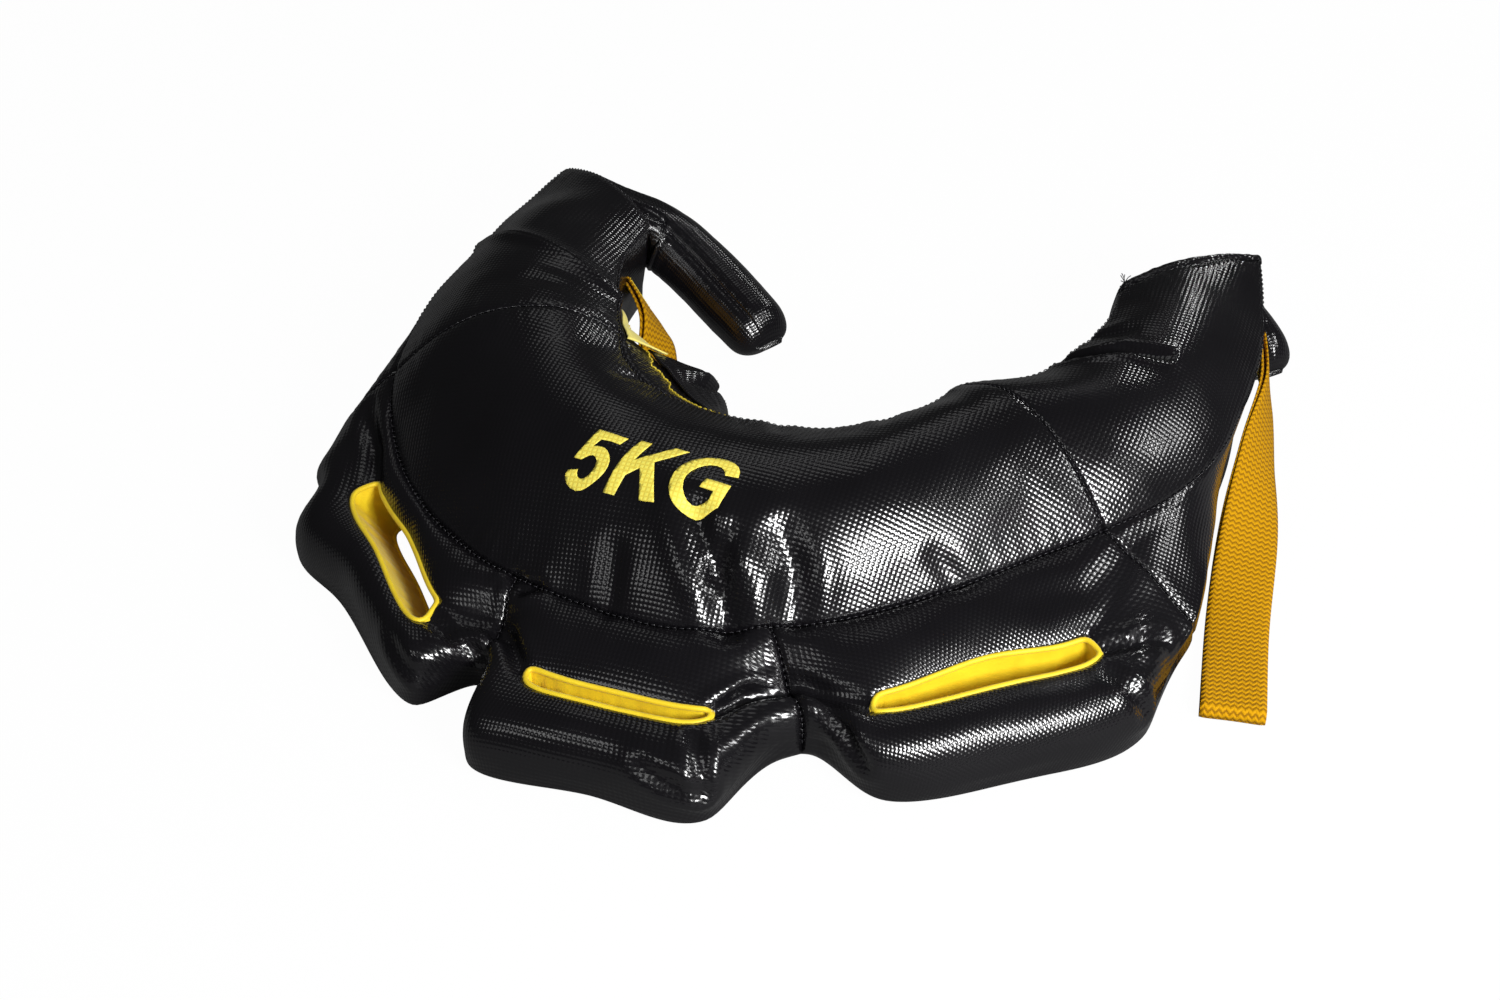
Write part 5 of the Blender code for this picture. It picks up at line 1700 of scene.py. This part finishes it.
# Outlines of the printed weight, in millimetres across and up the front panel
GLYPHS = [
    [(-78, 14), (-68, 13), (-59, 12), (-62, 6), (-68, 7), (-74, 7), (-77, 1.5), (-75.8, 1.9), (-73, 2),
     (-70.2, 1.6), (-67.4, 0), (-65.2, -2.8), (-63.6, -6), (-63.2, -10), (-64.2, -14), (-66.2, -17.2),
     (-69, -20.2), (-72, -22.6), (-75, -24.1), (-78.4, -24.3), (-82, -23.2), (-85, -21.2), (-87, -18.8),
     (-87.9, -16), (-87, -13.8), (-81, -13.2), (-80.9, -15), (-80.1, -16.7), (-78.6, -17.9), (-76.8, -18.3),
     (-74.9, -17.6), (-73.1, -16), (-71.8, -13.8), (-70.9, -11), (-71.2, -7.4), (-72.9, -5.2), (-75, -4.3),
     (-77.2, -4.8), (-79, -6), (-80.9, -7.6), (-86, -6.9), (-82, 3.2)],
    [(-51, 13), (-44, 12), (-49.4, -3), (-39, 4.4), (-29, 12), (-20, 11), (-28.4, 4), (-37, -2.4),
     (-32.2, -16), (-28, -27), (-37.6, -26.4), (-40.4, -18), (-44, -8), (-51, -13.6), (-52.4, -20),
     (-53.6, -25.2), (-61, -24.3), (-60, -18), (-59, -12), (-57, -3.4), (-54.2, 5.4)],
    [(14, 0), (6, -1), (5.2, 1.2), (3.9, 3), (1.8, 4.4), (-1.2, 5), (-5, 4.4), (-8.2, 2.6), (-11, -0.2),
     (-13.4, -3.9), (-14.9, -8), (-15.1, -12.4), (-14, -17), (-12, -20), (-9.6, -21.6), (-6.2, -22.3),
     (-3, -22), (0.8, -20.8), (2.9, -19), (3.7, -14.4), (-5, -13.8), (-3, -7.3), (12, -7.2), (9.8, -22.8),
     (6, -25.2), (2, -27), (-2.2, -28), (-7, -28.4), (-11, -28), (-15, -26.8), (-18, -24.9), (-20.3, -22),
     (-22.2, -18), (-23.1, -13), (-23, -8), (-21.6, -3), (-19.3, 1), (-16, 5), (-12, 8), (-7.2, 10.1),
     (-2, 11.3), (3, 11.3), (7.8, 10.1), (11.3, 7.9), (13.2, 4.6)],
]


class BAG_OT_weight_marking(bpy.types.Operator):
    """Print the weight on the front panel as a thin film of ink that follows the cloth"""
    bl_idname = "bag.weight_marking"
    bl_label = "Weight marking"

    def execute(self, context):
        bm = bmesh.new()
        for outline in GLYPHS:
            ring = [bm.verts.new((x / 1000, y / 1000, 0)) for x, y in outline]
            edges = [bm.edges.new((ring[i], ring[(i + 1) % len(ring)])) for i in range(len(ring))]
            bmesh.ops.triangle_fill(bm, edges=edges, use_beauty=True)
        step = 0.0026  # how finely the ink is cut up, so that it follows the cloth
        for axis, low, high in ((0, -0.090, 0.016), (1, -0.030, 0.016)):
            mark = low
            while mark < high:
                spot = [0, 0, 0]
                way = [0, 0, 0]
                spot[axis], way[axis] = mark, 1
                bmesh.ops.bisect_plane(bm, geom=bm.verts[:] + bm.edges[:] + bm.faces[:],
                                       plane_co=spot, plane_no=way)
                mark += step
        bmesh.ops.remove_doubles(bm, verts=bm.verts, dist=1e-5)
        mesh = bpy.data.meshes.new("weight_marking")
        bm.to_mesh(mesh)
        bm.free()
        flat = coordinates(mesh)
        tree = SKIN["tree"]
        place = []
        for x, y, _ in flat:
            hit, _, number, _ = tree.ray_cast(Vector((x, y, 0.3)), Vector((0, 0, -1)))
            if hit is None:
                raise RuntimeError("the marking misses the front panel")
            normal = SKIN["normals"][list(SKIN["polygons"][number])].mean(0)
            place.append(hit + Vector(normal) * 0.00032)
        obj = mesh_object("weight_marking", place, [tuple(p.vertices) for p in mesh.polygons])
        layer = obj.data.uv_layers.new(name="cloth")
        cover = SKIN["cover"]
        spots = [(c, r) for c in range(3 * PER_STATION, 13 * PER_STATION) for r in range(0, SEAM_ROW)]
        near = kdtree.KDTree(len(spots))
        for i, key in enumerate(spots):
            near.insert(SKIN["points"][cover.index[(0, *key)]], i)
        near.balance()
        for loop in obj.data.loops:
            p = obj.data.vertices[loop.vertex_index].co
            hit, i, _ = near.find(p)
            flat_spot = cover.flat[spots[i]]
            layer.data[loop.index].uv = (flat_spot[0] + p.x - hit.x, flat_spot[1] + p.y - hit.y)
        if sum(p.normal.z for p in obj.data.polygons) < 0:
            obj.data.flip_normals()
        finish_modifier(obj, "SOLIDIFY", thickness=0.00022, offset=-1.0)
        dress(obj, marking_ink(), "bag")
        bpy.data.meshes.remove(mesh)
        return {"FINISHED"}


# Stage
CAMERA_TARGET = Vector((-0.018, 0.110, 0.0))
CAMERA_WAY = Vector((0.2519, -0.7114, 0.6561))
CAMERA_DISTANCE = 1.5
# The lens's length as a share of the picture's width, and a sensor's width in millimetres
FOCAL_SHARE = 2325 / 1500
SENSOR_WIDTH = 36.0
# How much of the white backdrop the gloss shows
GLOSS_SHARE = 0.02
# Where the softboxes aim
BAG_MIDDLE = Vector((0.04, 0.09, 0.05))
# Each softbox: way from the bag, distance, size and how bright its face is
SOFTBOXES = (
    ("softbox_front_right", (0.620, -0.580, 0.530), 1.35, (0.48, 0.36), 30.0),
    ("softbox_right", (0.80, 0.15, 0.58), 1.35, (0.22, 0.26), 16.0),
    ("back_strip", (0.20, 0.88, 0.44), 1.35, (0.11, 0.12), 18.0),
    ("overhead_panel", (-0.22, 0.66, 0.72), 1.45, (0.50, 0.40), 0.45),
    ("front_panel", (-0.25, -0.73, 0.64), 1.45, (0.45, 0.35), 1.8),
)


def backdrop(tree):
    """The glossy rays' output, which rays see the backdrop directly, and how much of it each ray sees."""
    path = node(tree, "ShaderNodeLightPath")
    seen = node(tree, "ShaderNodeMath", {"operation": "MAXIMUM"}, {},
                {0: path.outputs["Is Camera Ray"], 1: path.outputs["Is Transmission Ray"]})
    share = node(tree, "ShaderNodeMath", {"operation": "MULTIPLY_ADD"}, {1: GLOSS_SHARE},
                 {0: path.outputs["Is Glossy Ray"], 2: seen.outputs["Value"]})
    return path.outputs["Is Glossy Ray"], seen.outputs["Value"], share.outputs["Value"]


class BAG_OT_stage(bpy.types.Operator):
    """Set the pale floor, the soft lights and the camera"""
    bl_idname = "bag.stage"
    bl_label = "Stage"

    def execute(self, context):
        scene = context.scene
        bpy.ops.object.select_all(action="DESELECT")
        bpy.ops.mesh.primitive_plane_add(size=8.0, location=(0, 0, -0.0002))
        floor = context.active_object
        floor.name = "studio_floor"
        floor.data.transform(Matrix.Translation((0, 0, -0.0002)))
        floor.location = (0, 0, 0)
        mat, tree, shader = surface("painted_studio_floor", {"Roughness": 0.9, "IOR": 1.45})
        # matt white paint: to the camera it is the white of the backdrop, and it still takes the shadow;
        # in the coat's gloss it is as dim as a studio floor outside the light
        _, seen, share = backdrop(tree)
        share = node(tree, "ShaderNodeMath", {"operation": "MULTIPLY"}, {1: 0.98}, {0: share})
        paint = node(tree, "ShaderNodeMix", {"data_type": "RGBA"},
                     {"A": linear("#5c5c5c"), "B": linear("#f6f6f6")},
                     {"Factor": seen})
        tree.links.new(paint.outputs["Result"], shader.inputs["Base Color"])
        glow = node(tree, "ShaderNodeEmission", {}, {"Color": (1, 1, 1, 1), "Strength": 1.0})
        mix = node(tree, "ShaderNodeMixShader", {}, {},
                   {0: share.outputs["Value"], 1: shader.outputs["BSDF"], 2: glow.outputs["Emission"]})
        tree.links.new(mix.outputs["Shader"], tree.nodes["Material Output"].inputs["Surface"])
        floor.data.materials.append(mat)
        world = scene.world or bpy.data.worlds.new("studio")
        scene.world = world
        world.use_nodes = True
        tree = world.node_tree
        tree.nodes.clear()
        glossy, _, share = backdrop(tree)
        # the soft light of the room reaches the cloth, and hardly shows in the gloss of the coat
        level = node(tree, "ShaderNodeMath", {"operation": "MULTIPLY_ADD"}, {1: -0.21, 2: 0.22}, {0: glossy})
        soft = node(tree, "ShaderNodeBackground", {}, {"Color": linear("#f2f3f6")},
                    {"Strength": level.outputs["Value"]})
        white = node(tree, "ShaderNodeBackground", {}, {"Color": (1, 1, 1, 1), "Strength": 1.0})
        mix = node(tree, "ShaderNodeMixShader", {}, {},
                   {0: share, 1: soft.outputs["Background"], 2: white.outputs["Background"]})
        out = node(tree, "ShaderNodeOutputWorld")
        tree.links.new(mix.outputs["Shader"], out.inputs["Surface"])
        for name, way, distance, size, strength in SOFTBOXES:
            self.softbox(name, way, distance, size, strength)
        data = bpy.data.cameras.new("photo_camera")
        camera = bpy.data.objects.new("photo_camera", data)
        context.collection.objects.link(camera)
        data.sensor_width = SENSOR_WIDTH
        data.lens = SENSOR_WIDTH * FOCAL_SHARE
        data.clip_start = 0.01
        camera.location = CAMERA_TARGET + CAMERA_WAY * CAMERA_DISTANCE
        camera.rotation_euler = (-CAMERA_WAY).to_track_quat("-Z", "Y").to_euler()
        scene.camera = camera
        scene.view_settings.view_transform = "Standard"
        return {"FINISHED"}

    def softbox(self, name, way, distance, size, strength):
        """A rectangular lamp aimed at the bag; its power follows from how bright its face is."""
        data = bpy.data.lights.new(name, "AREA")
        data.shape = "RECTANGLE"
        data.size, data.size_y = size
        data.energy = 4 * strength * size[0] * size[1]
        lamp = bpy.data.objects.new(name, data)
        bpy.context.collection.objects.link(lamp)
        way = Vector(way).normalized()
        lamp.location = BAG_MIDDLE + way * distance
        lamp.rotation_euler = (-way).to_track_quat("-Z", "Y").to_euler()


# The building steps, in the order in which they run
STEPS = ("stage", "stuffed_skin", "sewn_panels", "slot_bindings", "finger_handles", "fillings",
         "webbing_loops", "closure", "stitching", "weight_marking")


class BAG_PT_panel(bpy.types.Panel):
    """Sizes, colours and building steps of the bag"""
    bl_idname = "BAG_PT_panel"
    bl_label = "Bulgarian bag"
    bl_space_type = "VIEW_3D"
    bl_region_type = "UI"
    bl_category = "Bulgarian bag"

    def draw(self, context):
        for group in (context.scene.bag_sizes, context.scene.bag_finishes):
            column = self.layout.column()
            for key in group.bl_rna.properties.keys():
                if key not in ("rna_type", "name"):
                    column.prop(group, key)
        for step in STEPS:
            self.layout.operator("bag." + step)


CLASSES = (BagSizes, BagFinishes, BAG_OT_stage, BAG_OT_stuffed_skin, BAG_OT_sewn_panels, BAG_OT_slot_bindings,
           BAG_OT_fillings, BAG_OT_finger_handles, BAG_OT_webbing_loops, BAG_OT_closure, BAG_OT_stitching,
           BAG_OT_weight_marking, BAG_PT_panel)


def register():
    for item in CLASSES:
        bpy.utils.register_class(item)
    bpy.types.Scene.bag_sizes = PointerProperty(type=BagSizes)
    bpy.types.Scene.bag_finishes = PointerProperty(type=BagFinishes)


def unregister():
    del bpy.types.Scene.bag_sizes
    del bpy.types.Scene.bag_finishes
    for item in reversed(CLASSES):
        bpy.utils.unregister_class(item)


def main():
    register()
    for step in STEPS:
        getattr(bpy.ops.bag, step)()


if __name__ == "__main__":
    main()
